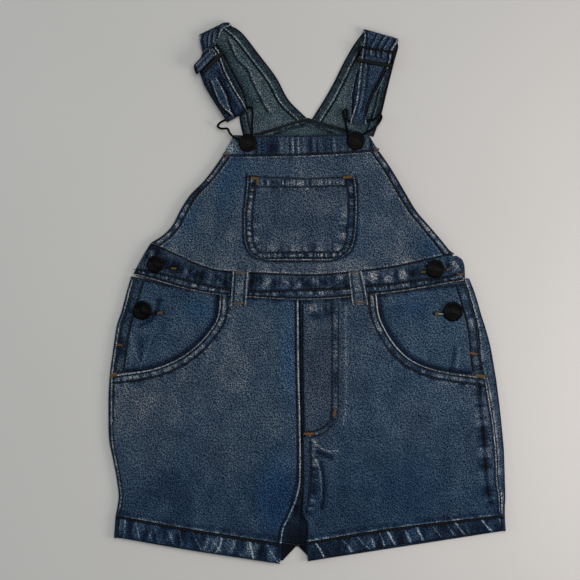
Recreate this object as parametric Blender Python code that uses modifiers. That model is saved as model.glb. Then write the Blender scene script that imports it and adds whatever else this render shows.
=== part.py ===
"""Toddler's denim shortalls, laid flat on their back with the front side up.

+X is the right of the garment as it is looked at, +Y points to the shoulders and +Z up
from the surface that it lies on. The origin is on that surface, under the middle of the
garment. The tables are in millimetres, a row for each section, from the top down.
"""

import math
from typing import NamedTuple

import bmesh
import bpy
from mathutils import Vector

MM = 0.001
GARMENT = "denim_shortalls"

# Cloth, in millimetres
WALL = 1.2            # one layer of denim
HEM_WALL = 1.7        # a hem or band of two and more layers, pressed
GAP = 0.3             # between pieces that meet
LIP_GAP = 0.5         # between a front panel's side and the back's lip
SEAT_GAP = 0.8        # under the back waist's curved seam
FRONT_LEVEL = 3.3     # underside of the front cloth over the surface
TUCK = 1.6            # the pocket facing lies this much lower than the leg
PATCH_WALL = 1.0      # pockets, fly, plackets and loops sewn on top
CELL = 9.5            # mesh cell of the cloth that shows
BACK_CELL = 17.0      # mesh cell of the flat cloth at the back
BEND_STEPS = 6        # steps round a folded edge

# Turned hems at the armholes and the hips, and the belt loops' lift
ARMHOLE_HEM = 7.0
PLACKET = 8.0
LOOP_LIFT = 0.5

# Straps
STRAP_WALL = 1.1
STRAP_CELL = 6.0
STRAP_ACROSS = 4

# Hardware
BUTTON_STEPS = 16
STEM_RADIUS = 2.2
WIRE_RADIUS = 0.9
WIRE_STEPS = 2        # points along a wire between two of its table's rows
SLIDER_WIDTH = 30.0
SLIDER_DEPTH = 13.3
SLIDER_BAR = 1.6
SLIDER_PLATE = 1.4


class Rung(NamedTuple):
    """One section of a panel: its two ends, how far it sags between them, and a point's rise."""

    left_x: float
    left_y: float
    right_x: float
    right_y: float
    quarter: float = 0.0
    half: float = 0.0
    three_quarters: float = 0.0
    peak: float = 0.0


class Station(NamedTuple):
    """One section of a strap, with the level of the strap's outer face."""

    left_x: float
    left_y: float
    right_x: float
    right_y: float
    level: float


class Side(NamedTuple):
    """The side of the garment at one height: its fold, and the seam in front of it."""

    y: float
    fold_x: float
    seam_x: float


class Facing(NamedTuple):
    """A row of a pocket facing: its height at the side seam, and its end under the pocket's edge."""

    side_y: float
    inner_x: float
    inner_y: float


class PocketPoint(NamedTuple):
    """A point of a pocket's edge, and the leg's height at the centre seam on the same section."""

    x: float
    y: float
    centre_y: float


class LegLevel(NamedTuple):
    """The heights of a leg's section at the side and at the centre."""

    side_y: float
    centre_y: float


class Centre(NamedTuple):
    """The inner edges of the two front legs at one height."""

    y: float
    left_x: float
    right_x: float


class Foot(NamedTuple):
    """Lower edge of a front hem: its height at the side seam, and its inner corner."""

    side_y: float
    inner_x: float
    inner_y: float


class Seat(NamedTuple):
    """The seat's centre seam at one height."""

    y: float
    x: float


class Slider(NamedTuple):
    """A slider: centre, turn in degrees, level of its outer bars, and how much lower its middle bar is."""

    x: float
    y: float
    turn: float
    level: float
    dip: float


class Swell(NamedTuple):
    """A soft rise of the front cloth."""

    x: float
    y: float
    reach_x: float
    reach_y: float
    rise: float


class Crease(NamedTuple):
    """A ridge of the front cloth, or a trough where the rise is below zero."""

    from_x: float
    from_y: float
    to_x: float
    to_y: float
    width: float
    rise: float


class WirePoint(NamedTuple):
    """A point of a wire's centre line."""

    x: float
    y: float
    level: float


class Button(NamedTuple):
    """A tack button: its centre, its cap's radius, and its stem under the cap."""

    name: str
    x: float
    y: float
    radius: float
    stem: float
    base: float


# Seams that two or more panels share
BAND_FOOT = Rung(-68.0, 108.0, 57.6, 112.2, 1.0, 1.4, 1.0)
BIB_SEAM = Rung(-124.6, 39.4, 115.6, 31.0, 20.6, 21.2, 14.4)
WAIST_SEAM = Rung(-138.8, 14.0, 125.2, 9.2, 14.6, 17.6, 11.8)
HEM_SEAM_LEFT = Rung(-151.2, -178.6, -20.3, -200.8, 0.6, 0.8, 0.4)
HEM_SEAM_RIGHT = Rung(-1.2, -199.8, 156.6, -177.8, -1.2, -1.6, -0.8)

BACK_SEAM = Rung(-136.0, 12.6, 123.0, 10.8, 9.5, 17.2, 8.8)

BIB = (
    BAND_FOOT,
    Rung(-75.2, 97.6, 64.8, 102.0, 0.4, 0.8, 0.4),
    Rung(-82.4, 88.5, 72.0, 90.4),
    Rung(-93.6, 77.0, 79.6, 77.2),
    Rung(-101.6, 64.5, 88.0, 63.6, 1.0, 1.5, 1.0),
    Rung(-107.2, 53.6, 96.0, 54.4, 4.0, 4.5, 3.0),
    Rung(-115.2, 45.2, 104.8, 44.2, 11.0, 11.5, 8.0),
    BIB_SEAM,
)
BIB_TOP_BAND = (
    Rung(-58.6, 125.2, 48.6, 126.8, 0.6, 1.2, 0.6),
    Rung(-63.0, 116.8, 53.0, 119.2, 0.8, 1.2, 0.8),
    BAND_FOOT,
)
WAISTBAND = (
    BIB_SEAM,
    Rung(-132.4, 26.4, 121.2, 20.0, 17.6, 19.4, 13.2),
    WAIST_SEAM,
)
BIB_POCKET = (
    Rung(-47.2, 93.2, 37.6, 92.8, 1.2, 2.1, 1.2),
    Rung(-48.4, 77.6, 39.2, 80.0),
    Rung(-50.2, 60.0, 39.5, 65.6),
    Rung(-50.0, 44.8, 38.4, 46.4),
    Rung(-47.4, 34.2, 35.4, 34.8),
    Rung(-41.0, 28.0, 28.6, 28.6),
    Rung(-31.2, 25.4, 16.8, 25.4),
)
POCKET_FACING_LEFT = (
    Facing(11.6, -68.4, -1.8), Facing(0.4, -67.6, -12.8), Facing(-14.4, -70.4, -25.6),
    Facing(-27.2, -78.6, -38.2), Facing(-42.4, -91.6, -51.0), Facing(-54.4, -116.2, -61.8),
    Facing(-62.6, -142.0, -66.6),
)
POCKET_FACING_RIGHT = (
    Facing(7.0, 54.0, -2.0), Facing(-2.2, 54.0, -14.0), Facing(-14.4, 58.6, -29.0),
    Facing(-27.2, 69.0, -43.4), Facing(-40.0, 83.6, -54.6), Facing(-51.2, 103.8, -62.2),
    Facing(-60.8, 127.8, -66.4),
)
FLY = (
    Rung(-4.4, -9.4, 25.3, -8.0),
    Rung(-4.4, -38.4, 25.3, -38.4),
    Rung(-4.0, -70.4, 25.3, -70.4),
    Rung(-3.6, -92.8, 25.1, -92.8),
    Rung(-3.4, -102.4, 23.0, -102.0),
    Rung(-3.2, -110.4, 17.0, -110.0),
    Rung(-3.0, -116.0, 7.2, -116.0),
)
BELT_LOOP_LEFT = (
    Rung(-59.2, 17.0, -46.2, 17.0),
    Rung(-60.2, 3.0, -47.4, 3.0),
    Rung(-61.0, -11.2, -48.4, -11.2),
)
BELT_LOOP_RIGHT = (
    Rung(32.8, 17.2, 43.5, 17.2),
    Rung(34.2, 3.4, 46.2, 3.4),
    Rung(36.0, -10.4, 48.8, -10.4),
)

# Front legs: the pocket's edge down to the side seam, the levels below it, and the centre seam
POCKET_EDGE_LEFT = (
    PocketPoint(-71.0, -19.0, -20.8), PocketPoint(-78.4, -32.0, -33.6), PocketPoint(-89.6, -44.0, -46.4),
    PocketPoint(-104.8, -54.4, -59.2), PocketPoint(-125.6, -62.0, -72.0),
)
POCKET_EDGE_RIGHT = (
    PocketPoint(57.4, -18.0, -20.8), PocketPoint(64.0, -32.8, -33.6), PocketPoint(72.8, -45.2, -46.4),
    PocketPoint(84.8, -55.2, -59.2), PocketPoint(104.8, -62.8, -72.0),
)
LEG_LEVELS_LEFT = (
    LegLevel(-66.4, -86.4), LegLevel(-80.0, -98.4), LegLevel(-94.4, -110.4), LegLevel(-118.4, -130.4),
    LegLevel(-138.4, -148.8), LegLevel(-155.0, -164.0), LegLevel(-167.5, -177.0), LegLevel(-173.5, -190.0),
)
LEG_LEVELS_RIGHT = (
    LegLevel(-68.4, -86.4), LegLevel(-78.6, -98.4), LegLevel(-91.0, -110.4), LegLevel(-110.4, -130.4),
    LegLevel(-134.4, -148.8), LegLevel(-151.0, -163.0), LegLevel(-161.0, -174.4), LegLevel(-169.6, -187.0),
)
CENTRE_SEAM = (
    Centre(-2.0, -6.7, -6.4), Centre(-56.8, -6.2, -5.9), Centre(-110.4, -5.0, -4.7),
    Centre(-144.8, -4.6, -4.2), Centre(-155.0, -5.8, -4.2), Centre(-165.3, -8.0, -4.6),
    Centre(-174.4, -11.2, -5.0), Centre(-182.4, -16.2, -2.4), Centre(-191.2, -19.0, 0.4),
    Centre(-200.8, -20.6, -1.0),
)
FOOT_LEFT = Foot(-195.8, -21.4, -217.0)
FOOT_RIGHT = Foot(-190.2, 0.6, -215.0)

SIDE_LEFT = (
    Side(12.0, -140.6, -137.4), Side(0.5, -144.0, -140.8), Side(-14.4, -147.8, -144.6),
    Side(-27.0, -152.0, -148.8), Side(-45.3, -154.8, -151.6), Side(-68.0, -157.6, -154.4),
    Side(-86.4, -158.6, -154.8), Side(-102.4, -158.6, -154.6), Side(-116.0, -158.2, -154.4),
    Side(-134.4, -154.8, -151.5), Side(-150.4, -151.8, -148.6), Side(-163.0, -150.4, -147.2),
    Side(-171.0, -151.3, -148.1), Side(-179.0, -152.9, -149.7), Side(-197.5, -154.2, -151.0),
)
SIDE_RIGHT = (
    Side(12.0, 129.0, 124.4), Side(-4.0, 135.0, 129.6), Side(-15.5, 138.4, 133.0),
    Side(-30.4, 143.0, 136.4), Side(-43.0, 146.4, 137.6), Side(-56.8, 148.9, 138.8),
    Side(-70.4, 151.2, 142.8), Side(-93.3, 154.0, 146.8), Side(-110.4, 155.8, 149.4),
    Side(-127.5, 157.3, 151.2), Side(-150.4, 158.0, 152.0), Side(-165.3, 158.4, 154.0),
    Side(-171.0, 158.0, 154.3), Side(-178.0, 158.0, 154.6), Side(-192.0, 158.8, 155.6),
)

BACK_BIB = (
    Rung(-43.4, 125.5, 44.0, 125.7, peak=13.0),
    Rung(-54.0, 113.6, 46.0, 113.6),
    Rung(-79.0, 81.6, 68.6, 81.6),
    Rung(-102.0, 48.0, 92.0, 50.0, 4.0, 4.5, 3.0),
    Rung(-119.0, 33.4, 118.6, 30.2, 17.6, 21.0, 14.6),
)
BACK_WAIST = (
    Rung(-120.0, 32.6, 119.6, 29.3, 17.6, 21.0, 14.6),
    Rung(-124.0, 28.0, 124.4, 25.6, 16.0, 20.0, 13.2),
    Rung(-128.0, 22.6, 126.2, 20.0, 14.0, 19.0, 12.0),
    BACK_SEAM._replace(right_x=126.6, right_y=11.2),
)
BACK_LEVELS = (
    LegLevel(-14.0, -22.0), LegLevel(-45.0, -50.0), LegLevel(-75.0, -80.0), LegLevel(-105.0, -112.0),
    LegLevel(-135.0, -142.0), LegLevel(-160.0, -174.0), LegLevel(-178.4, -202.0),
)
SEAT_SEAM = (Seat(0.0, -6.0), Seat(-160.0, -6.0), Seat(-186.0, -6.8), Seat(-206.0, -8.0))
BACK_HEM_DROP_LEFT = 17.6   # the back hems' heights at the side
BACK_HEM_DROP_RIGHT = 12.2
BACK_HEM_INNER = 12.6    # its height at the seat seam
BACK_HEM_SLANT = 11.6    # how far its foot slants away from the seat seam
BACK_HEM_ROWS = 4        # rows of its mesh

SWELLS = (
    Swell(-84.0, -122.0, 46.0, 44.0, 1.2),
    Swell(78.0, -118.0, 46.0, 44.0, 1.2),
    Swell(-8.0, 74.0, 52.0, 26.0, 0.7),
    Swell(-60.0, -60.0, 26.0, 30.0, 0.5),
    Swell(58.0, -66.0, 24.0, 26.0, 0.5),
)
CREASES = (
    Crease(3.0, -128.0, 11.0, -150.0, 6.5, 1.1),
    Crease(13.5, -146.0, 14.0, -172.0, 6.5, -0.9),
    Crease(9.0, -122.0, 24.0, -127.0, 6.5, 0.7),
    Crease(-141.0, -36.0, -127.0, -58.0, 7.0, 0.8),
    Crease(120.0, -44.0, 121.0, -60.0, 7.0, 0.7),
    Crease(-138.0, -92.0, -130.0, -150.0, 9.0, 0.6),
    Crease(-22.0, -140.0, -34.0, -180.0, 8.0, 0.9),
    Crease(132.0, -96.0, 138.0, -150.0, 8.0, 0.7),
    Crease(-96.0, 58.0, -84.0, 32.0, 8.0, 0.6),
    Crease(78.0, 66.0, 96.0, 38.0, 8.0, 0.6),
)

# Straps: up the back, over the fold, down to the slider
STRAP_LEFT_RISE = (
    Station(-44.4, 126.2, -0.6, 139.4, 0.0), Station(-49.6, 134.4, -15.2, 154.4, 0.0),
    Station(-55.2, 150.4, -24.0, 170.7, 0.0), Station(-64.8, 171.2, -37.6, 189.0, 0.0),
    Station(-76.8, 192.8, -52.8, 208.0, 0.0),
)
STRAP_LEFT_FOLD = Station(-86.2, 205.4, -62.4, 217.0, 5.5)
STRAP_LEFT_DROP = (
    Station(-86.0, 201.0, -69.0, 210.0, 5.5), Station(-87.0, 191.6, -71.6, 202.6, 5.5),
)
STRAP_RIGHT_RISE = (
    Station(3.8, 138.2, 53.2, 124.0, 0.0), Station(15.2, 156.4, 59.8, 143.2, 0.0),
    Station(21.6, 168.0, 64.2, 161.6, 0.0), Station(30.4, 185.6, 69.8, 184.0, 0.0),
    Station(38.4, 199.2, 73.0, 196.0, 0.0),
)
STRAP_RIGHT_FOLD = Station(45.4, 210.0, 73.2, 202.0, 5.5)
STRAP_RIGHT_DROP = (
    Station(45.6, 204.0, 71.0, 197.4, 5.5), Station(44.2, 194.6, 67.4, 190.8, 5.5),
    Station(43.6, 189.0, 66.8, 185.4, 5.9),
)
# Straps: from the slider down to the buckle, round its wire and back up underneath
STRAP_LEFT_RUN = (
    Station(-87.4, 190.2, -72.8, 201.4, 5.2), Station(-87.5, 186.1, -74.1, 198.2, 5.1),
    Station(-88.6, 179.1, -72.2, 193.9, 9.0), Station(-86.8, 177.1, -70.4, 191.9, 9.0),
    Station(-84.9, 172.8, -68.9, 187.2, 5.1), Station(-82.4, 165.6, -65.0, 176.6, 5.4),
    Station(-77.0, 156.0, -56.8, 160.6, 5.9), Station(-70.0, 145.0, -50.4, 150.4, 6.5),
)
STRAP_LEFT_TURN = Station(-63.8, 135.0, -47.4, 144.2, 1.5)
STRAP_LEFT_RETURN = (
    Station(-69.8, 146.0, -53.6, 151.4, 1.5), Station(-76.0, 157.4, -60.0, 161.6, 1.5),
    Station(-80.8, 168.0, -66.4, 171.2, 1.5),
)
STRAP_RIGHT_RUN = (
    Station(43.5, 188.6, 66.7, 185.0, 5.9), Station(42.6, 181.6, 64.4, 177.8, 5.5),
    Station(41.3, 168.8, 59.6, 166.4, 5.6), Station(39.5, 154.7, 53.0, 154.7, 5.9),
    Station(36.8, 143.6, 48.8, 143.6, 6.5),
)
STRAP_RIGHT_TURN = Station(34.4, 134.0, 47.2, 134.0, 1.5)
STRAP_RIGHT_RETURN = (
    Station(34.2, 143.2, 45.6, 143.2, 1.5), Station(34.6, 155.2, 47.2, 155.2, 1.5),
    Station(36.8, 168.5, 52.0, 168.8, 1.5), Station(39.0, 177.6, 56.8, 176.0, 1.5),
)

SLIDER_LEFT = Slider(-79.5, 185.5, 42.2, 6.7, 0.1)
SLIDER_RIGHT = Slider(54.4, 187.2, -9.6, 6.6, 2.9)

# Wire buckles: a bar in the strap's turn, ears, and a narrow eye round the button's stem
BUCKLE_LEFT = (
    WirePoint(-64.4, 137.6, 4.0), WirePoint(-56.0, 142.3, 4.0), WirePoint(-47.6, 147.0, 4.0),
    WirePoint(-44.4, 146.6, 4.4), WirePoint(-43.4, 142.6, 4.8), WirePoint(-43.8, 134.0, 5.8),
    WirePoint(-43.6, 126.0, 6.5), WirePoint(-43.3, 119.4, 6.5), WirePoint(-45.0, 115.4, 6.5),
    WirePoint(-47.2, 114.3, 6.5), WirePoint(-49.8, 115.2, 6.5), WirePoint(-51.8, 118.0, 6.5),
    WirePoint(-53.4, 121.2, 6.5), WirePoint(-58.0, 123.0, 6.5), WirePoint(-61.6, 126.6, 6.2),
    WirePoint(-63.4, 130.0, 5.6), WirePoint(-68.4, 130.2, 5.0), WirePoint(-71.2, 132.2, 4.6),
    WirePoint(-69.0, 135.2, 4.2),
)
BUCKLE_RIGHT = (
    WirePoint(33.0, 136.6, 4.0), WirePoint(41.0, 136.6, 4.0), WirePoint(49.6, 136.8, 4.0),
    WirePoint(55.0, 138.8, 4.0), WirePoint(58.0, 141.6, 4.2), WirePoint(59.2, 138.6, 4.8),
    WirePoint(54.0, 131.0, 6.2), WirePoint(44.4, 125.4, 6.5), WirePoint(42.8, 121.0, 6.5),
    WirePoint(41.0, 117.0, 6.5), WirePoint(38.8, 116.1, 6.5), WirePoint(36.6, 117.0, 6.5),
    WirePoint(34.8, 121.0, 6.5), WirePoint(32.0, 126.0, 6.5), WirePoint(31.4, 131.4, 5.6),
    WirePoint(29.8, 138.6, 4.8), WirePoint(28.8, 143.4, 4.6), WirePoint(31.2, 145.4, 4.2),
    WirePoint(32.0, 141.6, 4.0),
)

BAND_TOP = FRONT_LEVEL + HEM_WALL
FACING_TOP = FRONT_LEVEL - TUCK + WALL
BUTTONS = (
    Button("bib_button_left", -47.2, 118.4, 7.6, 2.4, BAND_TOP),
    Button("bib_button_right", 38.8, 120.0, 7.6, 2.4, BAND_TOP),
    Button("waist_button_left", -120.8, 22.0, 7.2, 0.8, BAND_TOP),
    Button("waist_button_right", 102.0, 18.4, 7.6, 0.8, BAND_TOP),
    Button("hip_button_left", -131.2, -14.8, 8.0, 0.8, FACING_TOP),
    Button("hip_button_right", 116.4, -15.6, 8.2, 0.8, FACING_TOP),
)

# Colours: red, green, blue, roughness, metallic
MID_DENIM = (0.050, 0.085, 0.135, 0.92, 0.0)
DARK_DENIM = (0.022, 0.040, 0.075, 0.92, 0.0)
INSIDE_DENIM = (0.115, 0.170, 0.190, 0.95, 0.0)
BLACK_METAL = (0.010, 0.011, 0.013, 0.38, 0.6)


def slope_at(values, index):
    """Slope of a smooth row of values that never overshoots them."""
    before = values[index] - values[index - 1] if index else None
    after = values[index + 1] - values[index] if index + 1 < len(values) else None
    if before is None or after is None:
        return after if before is None else before
    if before * after <= 0.0:
        return 0.0
    return 2.0 * before * after / (before + after)


def blend(values, place):
    """Value at a place along a row of values, by cubic pieces."""
    index = min(int(place), len(values) - 2)
    t = place - index
    start, end = values[index], values[index + 1]
    rise, fall = slope_at(values, index), slope_at(values, index + 1)
    return (start * (1 + 2 * t) * (1 - t) ** 2 + rise * t * (1 - t) ** 2
            + end * t * t * (3 - 2 * t) + fall * t * t * (t - 1))


def lookup(table, height, column):
    """Value of a named column at a height, from a table whose rows run downwards."""
    heights = [row.y for row in table]
    values = [getattr(row, column) for row in table]
    if height >= heights[0]:
        return values[0]
    if height <= heights[-1]:
        return values[-1]
    index = max(i for i, value in enumerate(heights) if value >= height)
    part = (heights[index] - height) / (heights[index] - heights[index + 1])
    return blend(values, index + part)


def blend_rows(rows, cell):
    """Rows between the rows of a table, about a cell apart."""
    kind = type(rows[0])
    dense = []
    for index in range(len(rows) - 1):
        first, second = rows[index], rows[index + 1]
        span = max(math.dist(first[0:2], second[0:2]), math.dist(first[2:4], second[2:4]))
        steps = max(1, round(span / cell))
        for step in range(steps):
            place = index + step / steps
            dense.append(kind(*(blend(column, place) for column in zip(*rows))))
    dense.append(rows[-1])
    return dense


def point_on(rung, share):
    """Point of a rung at a share of its length, with its sag."""
    sag = blend((0.0, rung.quarter, rung.half, rung.three_quarters, 0.0), 4.0 * share)
    x = rung.left_x + (rung.right_x - rung.left_x) * share
    y = rung.left_y + (rung.right_y - rung.left_y) * share - sag
    return x, y + rung.peak * (1.0 - abs(2.0 * share - 1.0))


def stretch_of(rung, from_x, to_x):
    """The part of a rung between two places across."""
    width = rung.right_x - rung.left_x
    ends = [(x - rung.left_x) / width for x in (from_x, to_x)]
    points = [point_on(rung, ends[0] + (ends[1] - ends[0]) * k / 4.0) for k in range(5)]
    (left_x, left_y), (right_x, right_y) = points[0], points[-1]
    sags = [left_y + (right_y - left_y) * k / 4.0 - points[k][1] for k in (1, 2, 3)]
    return Rung(left_x, left_y, right_x, right_y, *sags)


def cloth_level(x, y):
    """Level of the underside of the front cloth, with its swells and creases."""
    level = FRONT_LEVEL
    for swell in SWELLS:
        away = ((x - swell.x) / swell.reach_x) ** 2 + ((y - swell.y) / swell.reach_y) ** 2
        level += swell.rise * math.exp(-away)
    for crease in CREASES:
        run = Vector((crease.to_x - crease.from_x, crease.to_y - crease.from_y))
        here = Vector((x - crease.from_x, y - crease.from_y))
        along = min(max(here.dot(run) / run.length_squared, 0.0), 1.0)
        away = (here - run * along).length / crease.width
        level += crease.rise * math.exp(-away * away)
    return level


def new_material(name, colour):
    """Principled material of a piece."""
    red, green, blue, roughness, metallic = colour
    material = bpy.data.materials.new(name)
    material.use_nodes = True
    shader = material.node_tree.nodes["Principled BSDF"]
    shader.inputs["Base Color"].default_value = (red, green, blue, 1.0)
    shader.inputs["Roughness"].default_value = roughness
    shader.inputs["Metallic"].default_value = metallic
    material.diffuse_color = (red, green, blue, 1.0)
    return material


def add_object(name, data, colour, collection):
    """Object of a piece, in the garment's collection and with its own material."""
    piece = bpy.data.objects.new(name, data)
    data.materials.append(new_material(name + "_finish", colour))
    collection.objects.link(piece)
    return piece


def grid_mesh(name, columns, rows, place):
    """Mesh of a grid whose points are set by a function of their share across and up."""
    mesh = bpy.data.meshes.new(name)
    shape = bmesh.new()
    bmesh.ops.create_grid(shape, x_segments=columns, y_segments=rows, size=1.0)
    for vertex in shape.verts:
        across = (vertex.co.x + 1.0) / 2.0
        up = (vertex.co.y + 1.0) / 2.0
        vertex.co = Vector(place(across, up)) * MM
    shape.to_mesh(mesh)
    shape.free()
    mesh.shade_smooth()
    return mesh


def thicken(piece, wall, offset):
    """Give a sheet its wall, upwards from its underside (1) or inwards from its face (-1)."""
    solid = piece.modifiers.new("Wall", "SOLIDIFY")
    solid.thickness = wall * MM
    solid.offset = offset
    solid.use_even_offset = True
    solid.use_rim = True
    return piece


def add_panel(collection, name, rungs, colour, wall=WALL, lift=0.0, cell=CELL, trims=(0.0, 0.0),
              level=cloth_level):
    """A flat panel lofted through its rungs, on a level that the front cloth gives."""
    rows = blend_rows(rungs, cell)
    width = max(math.dist(rung[0:2], rung[2:4]) for rung in rungs)
    columns = max(2, round((width - sum(trims)) / cell))
    last = len(rows) - 1

    def place(across, up):
        row = min(int(round((1.0 - up) * last)), last)
        rung = rows[row]
        if row == 0 or row == last:
            inside = rows[1] if row == 0 else rows[last - 1]
            span = math.dist(point_on(rung, 0.5), point_on(inside, 0.5))
            pull = min(0.5 * GAP / span, 0.4)
            rung = Rung(*(a + (b - a) * pull for a, b in zip(rung, inside)))
        length = math.dist(rung[0:2], rung[2:4])
        start = (trims[0] + 0.5 * GAP) / length
        stop = 1.0 - (trims[1] + 0.5 * GAP) / length
        x, y = point_on(rung, start + (stop - start) * across)
        return x, y, level(x, y) + lift

    piece = add_object(name, grid_mesh(name, columns, last, place), colour, collection)
    return thicken(piece, wall, 1.0)


def ground_level(_x, _y):
    """Level of the cloth that lies on the surface."""
    return 0.0


def leg_rungs(side, sign, waist, pocket_edge, levels, hem_seam):
    """Rungs of a front leg, from the waist seam past the pocket's edge to the hem."""
    inner = "left_x" if sign < 0 else "right_x"
    rungs = [waist]
    for point in pocket_edge:
        centre_x = lookup(CENTRE_SEAM, point.centre_y, inner)
        rungs.append(order_rung(sign, point.x, point.y, centre_x, point.centre_y))
    for row in levels:
        seam_x = lookup(side, row.side_y, "seam_x")
        centre_x = lookup(CENTRE_SEAM, row.centre_y, inner)
        rungs.append(order_rung(sign, seam_x, row.side_y, centre_x, row.centre_y))
    rungs.append(hem_seam)
    return rungs


def facing_rungs(side, sign, rows):
    """Rungs of a pocket facing, from the side seam to under the pocket's edge."""
    return [order_rung(sign, lookup(side, row.side_y, "seam_x"), row.side_y, row.inner_x, row.inner_y)
            for row in rows]


def order_rung(sign, outer_x, outer_y, inner_x, inner_y):
    """A rung from its outer and inner ends, for the left (-1) or the right (1) side."""
    if sign < 0:
        return Rung(outer_x, outer_y, inner_x, inner_y)
    return Rung(inner_x, inner_y, outer_x, outer_y)


def add_wrap(collection, name, side, sign, spans, colour, wall, top):
    """A back panel that lies flat and wraps round the side up to the seam in front.

    Each span is (inner x, inner y, side y) and its sag at three quarters, half and a quarter
    of the way in. The section runs out along the surface, round the fold, and in to the seam.
    """
    width = max(abs(lookup(side, span[2], "fold_x") - span[0]) for span in spans)
    flat_steps = max(3, round(width / BACK_CELL))
    columns = flat_steps + BEND_STEPS + 1
    radius = top / 2.0
    last = len(spans) - 1

    def place(across, up):
        # The grid's rows run up on the left side and down on the right, so that faces point out
        row = int(round((1.0 - up if sign < 0 else up) * last))
        step = int(round(across * columns))
        inner_x, inner_y, side_y, *sags = spans[row]
        fold = lookup(side, side_y, "fold_x")
        seam = lookup(side, side_y, "seam_x") + sign * LIP_GAP
        turn_x = fold - sign * radius
        if step <= flat_steps:
            share = step / flat_steps
            x = inner_x + (turn_x - inner_x) * share
            out = (x - inner_x) / (fold - inner_x)
            return x, inner_y + (side_y - inner_y) * out - blend((0.0, *sags, 0.0), 4.0 * out), 0.0
        angle = math.pi * min(step - flat_steps, BEND_STEPS) / BEND_STEPS
        if step > flat_steps + BEND_STEPS:
            return seam, side_y, top
        return turn_x + sign * radius * math.sin(angle), side_y, radius * (1.0 - math.cos(angle))

    piece = add_object(name, grid_mesh(name, columns, last, place), colour, collection)
    return thicken(piece, wall, -1.0)


def turn_stations(before, edge, after_level, steps=BEND_STEPS + 2):
    """Stations round a fold whose outermost line is given, between two levels."""
    radius = abs(after_level - before.level) / 2.0
    line = Vector((edge.right_x - edge.left_x, edge.right_y - edge.left_y)).normalized()
    out = Vector((-line.y, line.x))
    middle = Vector(((edge.left_x + edge.right_x) / 2.0, (edge.left_y + edge.right_y) / 2.0))
    came_from = Vector(((before.left_x + before.right_x) / 2.0, (before.left_y + before.right_y) / 2.0))
    if (middle - came_from).dot(out) < 0.0:
        out = -out
    stations = []
    for step in range(steps + 1):
        angle = math.pi * step / steps
        back = out * radius * (math.sin(angle) - 1.0)
        level = before.level + (after_level - before.level) * (1.0 - math.cos(angle)) / 2.0
        stations.append(Station(edge.left_x + back.x, edge.left_y + back.y,
                                edge.right_x + back.x, edge.right_y + back.y, level))
    return stations


def add_strap(collection, name, first_run, fold, second_run, colour):
    """A strap that runs one way, turns round a fold and runs back on another level."""
    turn = turn_stations(first_run[-1], fold, second_run[0].level)
    before = blend_rows(tuple(first_run) + (turn[0],), STRAP_CELL)
    after = blend_rows((turn[-1],) + tuple(second_run), STRAP_CELL)
    rows = before[:-1] + turn + after[1:]
    last = len(rows) - 1

    def place(across, up):
        # The grid's columns run from right to left, so that the strap's faces point out
        row = rows[int(round(up * last))]
        x = row.right_x + (row.left_x - row.right_x) * across
        y = row.right_y + (row.left_y - row.right_y) * across
        return x, y, row.level

    piece = add_object(name, grid_mesh(name, STRAP_ACROSS, last, place), colour, collection)
    return thicken(piece, STRAP_WALL, -1.0)


def add_slider(collection, name, spot):
    """A slider: a plate with two windows, whose middle bar may lie lower than the others."""
    half_width, half_depth = SLIDER_WIDTH / 2.0, SLIDER_DEPTH / 2.0
    across_lines = (-half_width, SLIDER_BAR - half_width, half_width - SLIDER_BAR, half_width)
    up_lines = (-half_depth, SLIDER_BAR - half_depth, -SLIDER_BAR / 2.0,
                SLIDER_BAR / 2.0, half_depth - SLIDER_BAR, half_depth)

    def place(across, up):
        column = int(round(across * (len(across_lines) - 1)))
        row = int(round(up * (len(up_lines) - 1)))
        low = -spot.dip if row in (2, 3) else 0.0
        return across_lines[column], up_lines[row], low - SLIDER_PLATE / 2.0

    mesh = grid_mesh(name, len(across_lines) - 1, len(up_lines) - 1, place)
    shape = bmesh.new()
    shape.from_mesh(mesh)
    inner = (half_width - SLIDER_BAR) * MM
    windows = [face for face in shape.faces
               if abs(face.calc_center_median().x) < inner * 0.5
               and SLIDER_BAR * MM < abs(face.calc_center_median().y) < (half_depth - SLIDER_BAR) * MM]
    bmesh.ops.delete(shape, geom=windows, context="FACES")
    shape.to_mesh(mesh)
    shape.free()
    mesh.shade_flat()
    slider = add_object(name, mesh, BLACK_METAL, collection)
    slider.location = Vector((spot.x, spot.y, spot.level)) * MM
    slider.rotation_euler = (0.0, 0.0, math.radians(spot.turn))
    return thicken(slider, SLIDER_PLATE, 1.0)


def add_wire(collection, name, route):
    """A closed wire through the points of a route, made smooth between them."""
    count = len(route)
    points = []
    for index in range(count):
        p0, p1, p2, p3 = (Vector(route[(index + k - 1) % count]) for k in range(4))
        for step in range(WIRE_STEPS):
            t = step / WIRE_STEPS
            points.append(0.5 * (2 * p1 + (p2 - p0) * t + (2 * p0 - 5 * p1 + 4 * p2 - p3) * t * t
                                 + (3 * p1 - p0 - 3 * p2 + p3) * t ** 3))
    curve = bpy.data.curves.new(name, "CURVE")
    curve.dimensions = "3D"
    curve.bevel_depth = WIRE_RADIUS * MM
    curve.bevel_resolution = 2
    spline = curve.splines.new("POLY")
    spline.points.add(len(points) - 1)
    for point, spot in zip(spline.points, points):
        point.co = (*(spot * MM), 1.0)
    spline.use_cyclic_u = True
    return add_object(name, curve, BLACK_METAL, collection)


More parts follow.
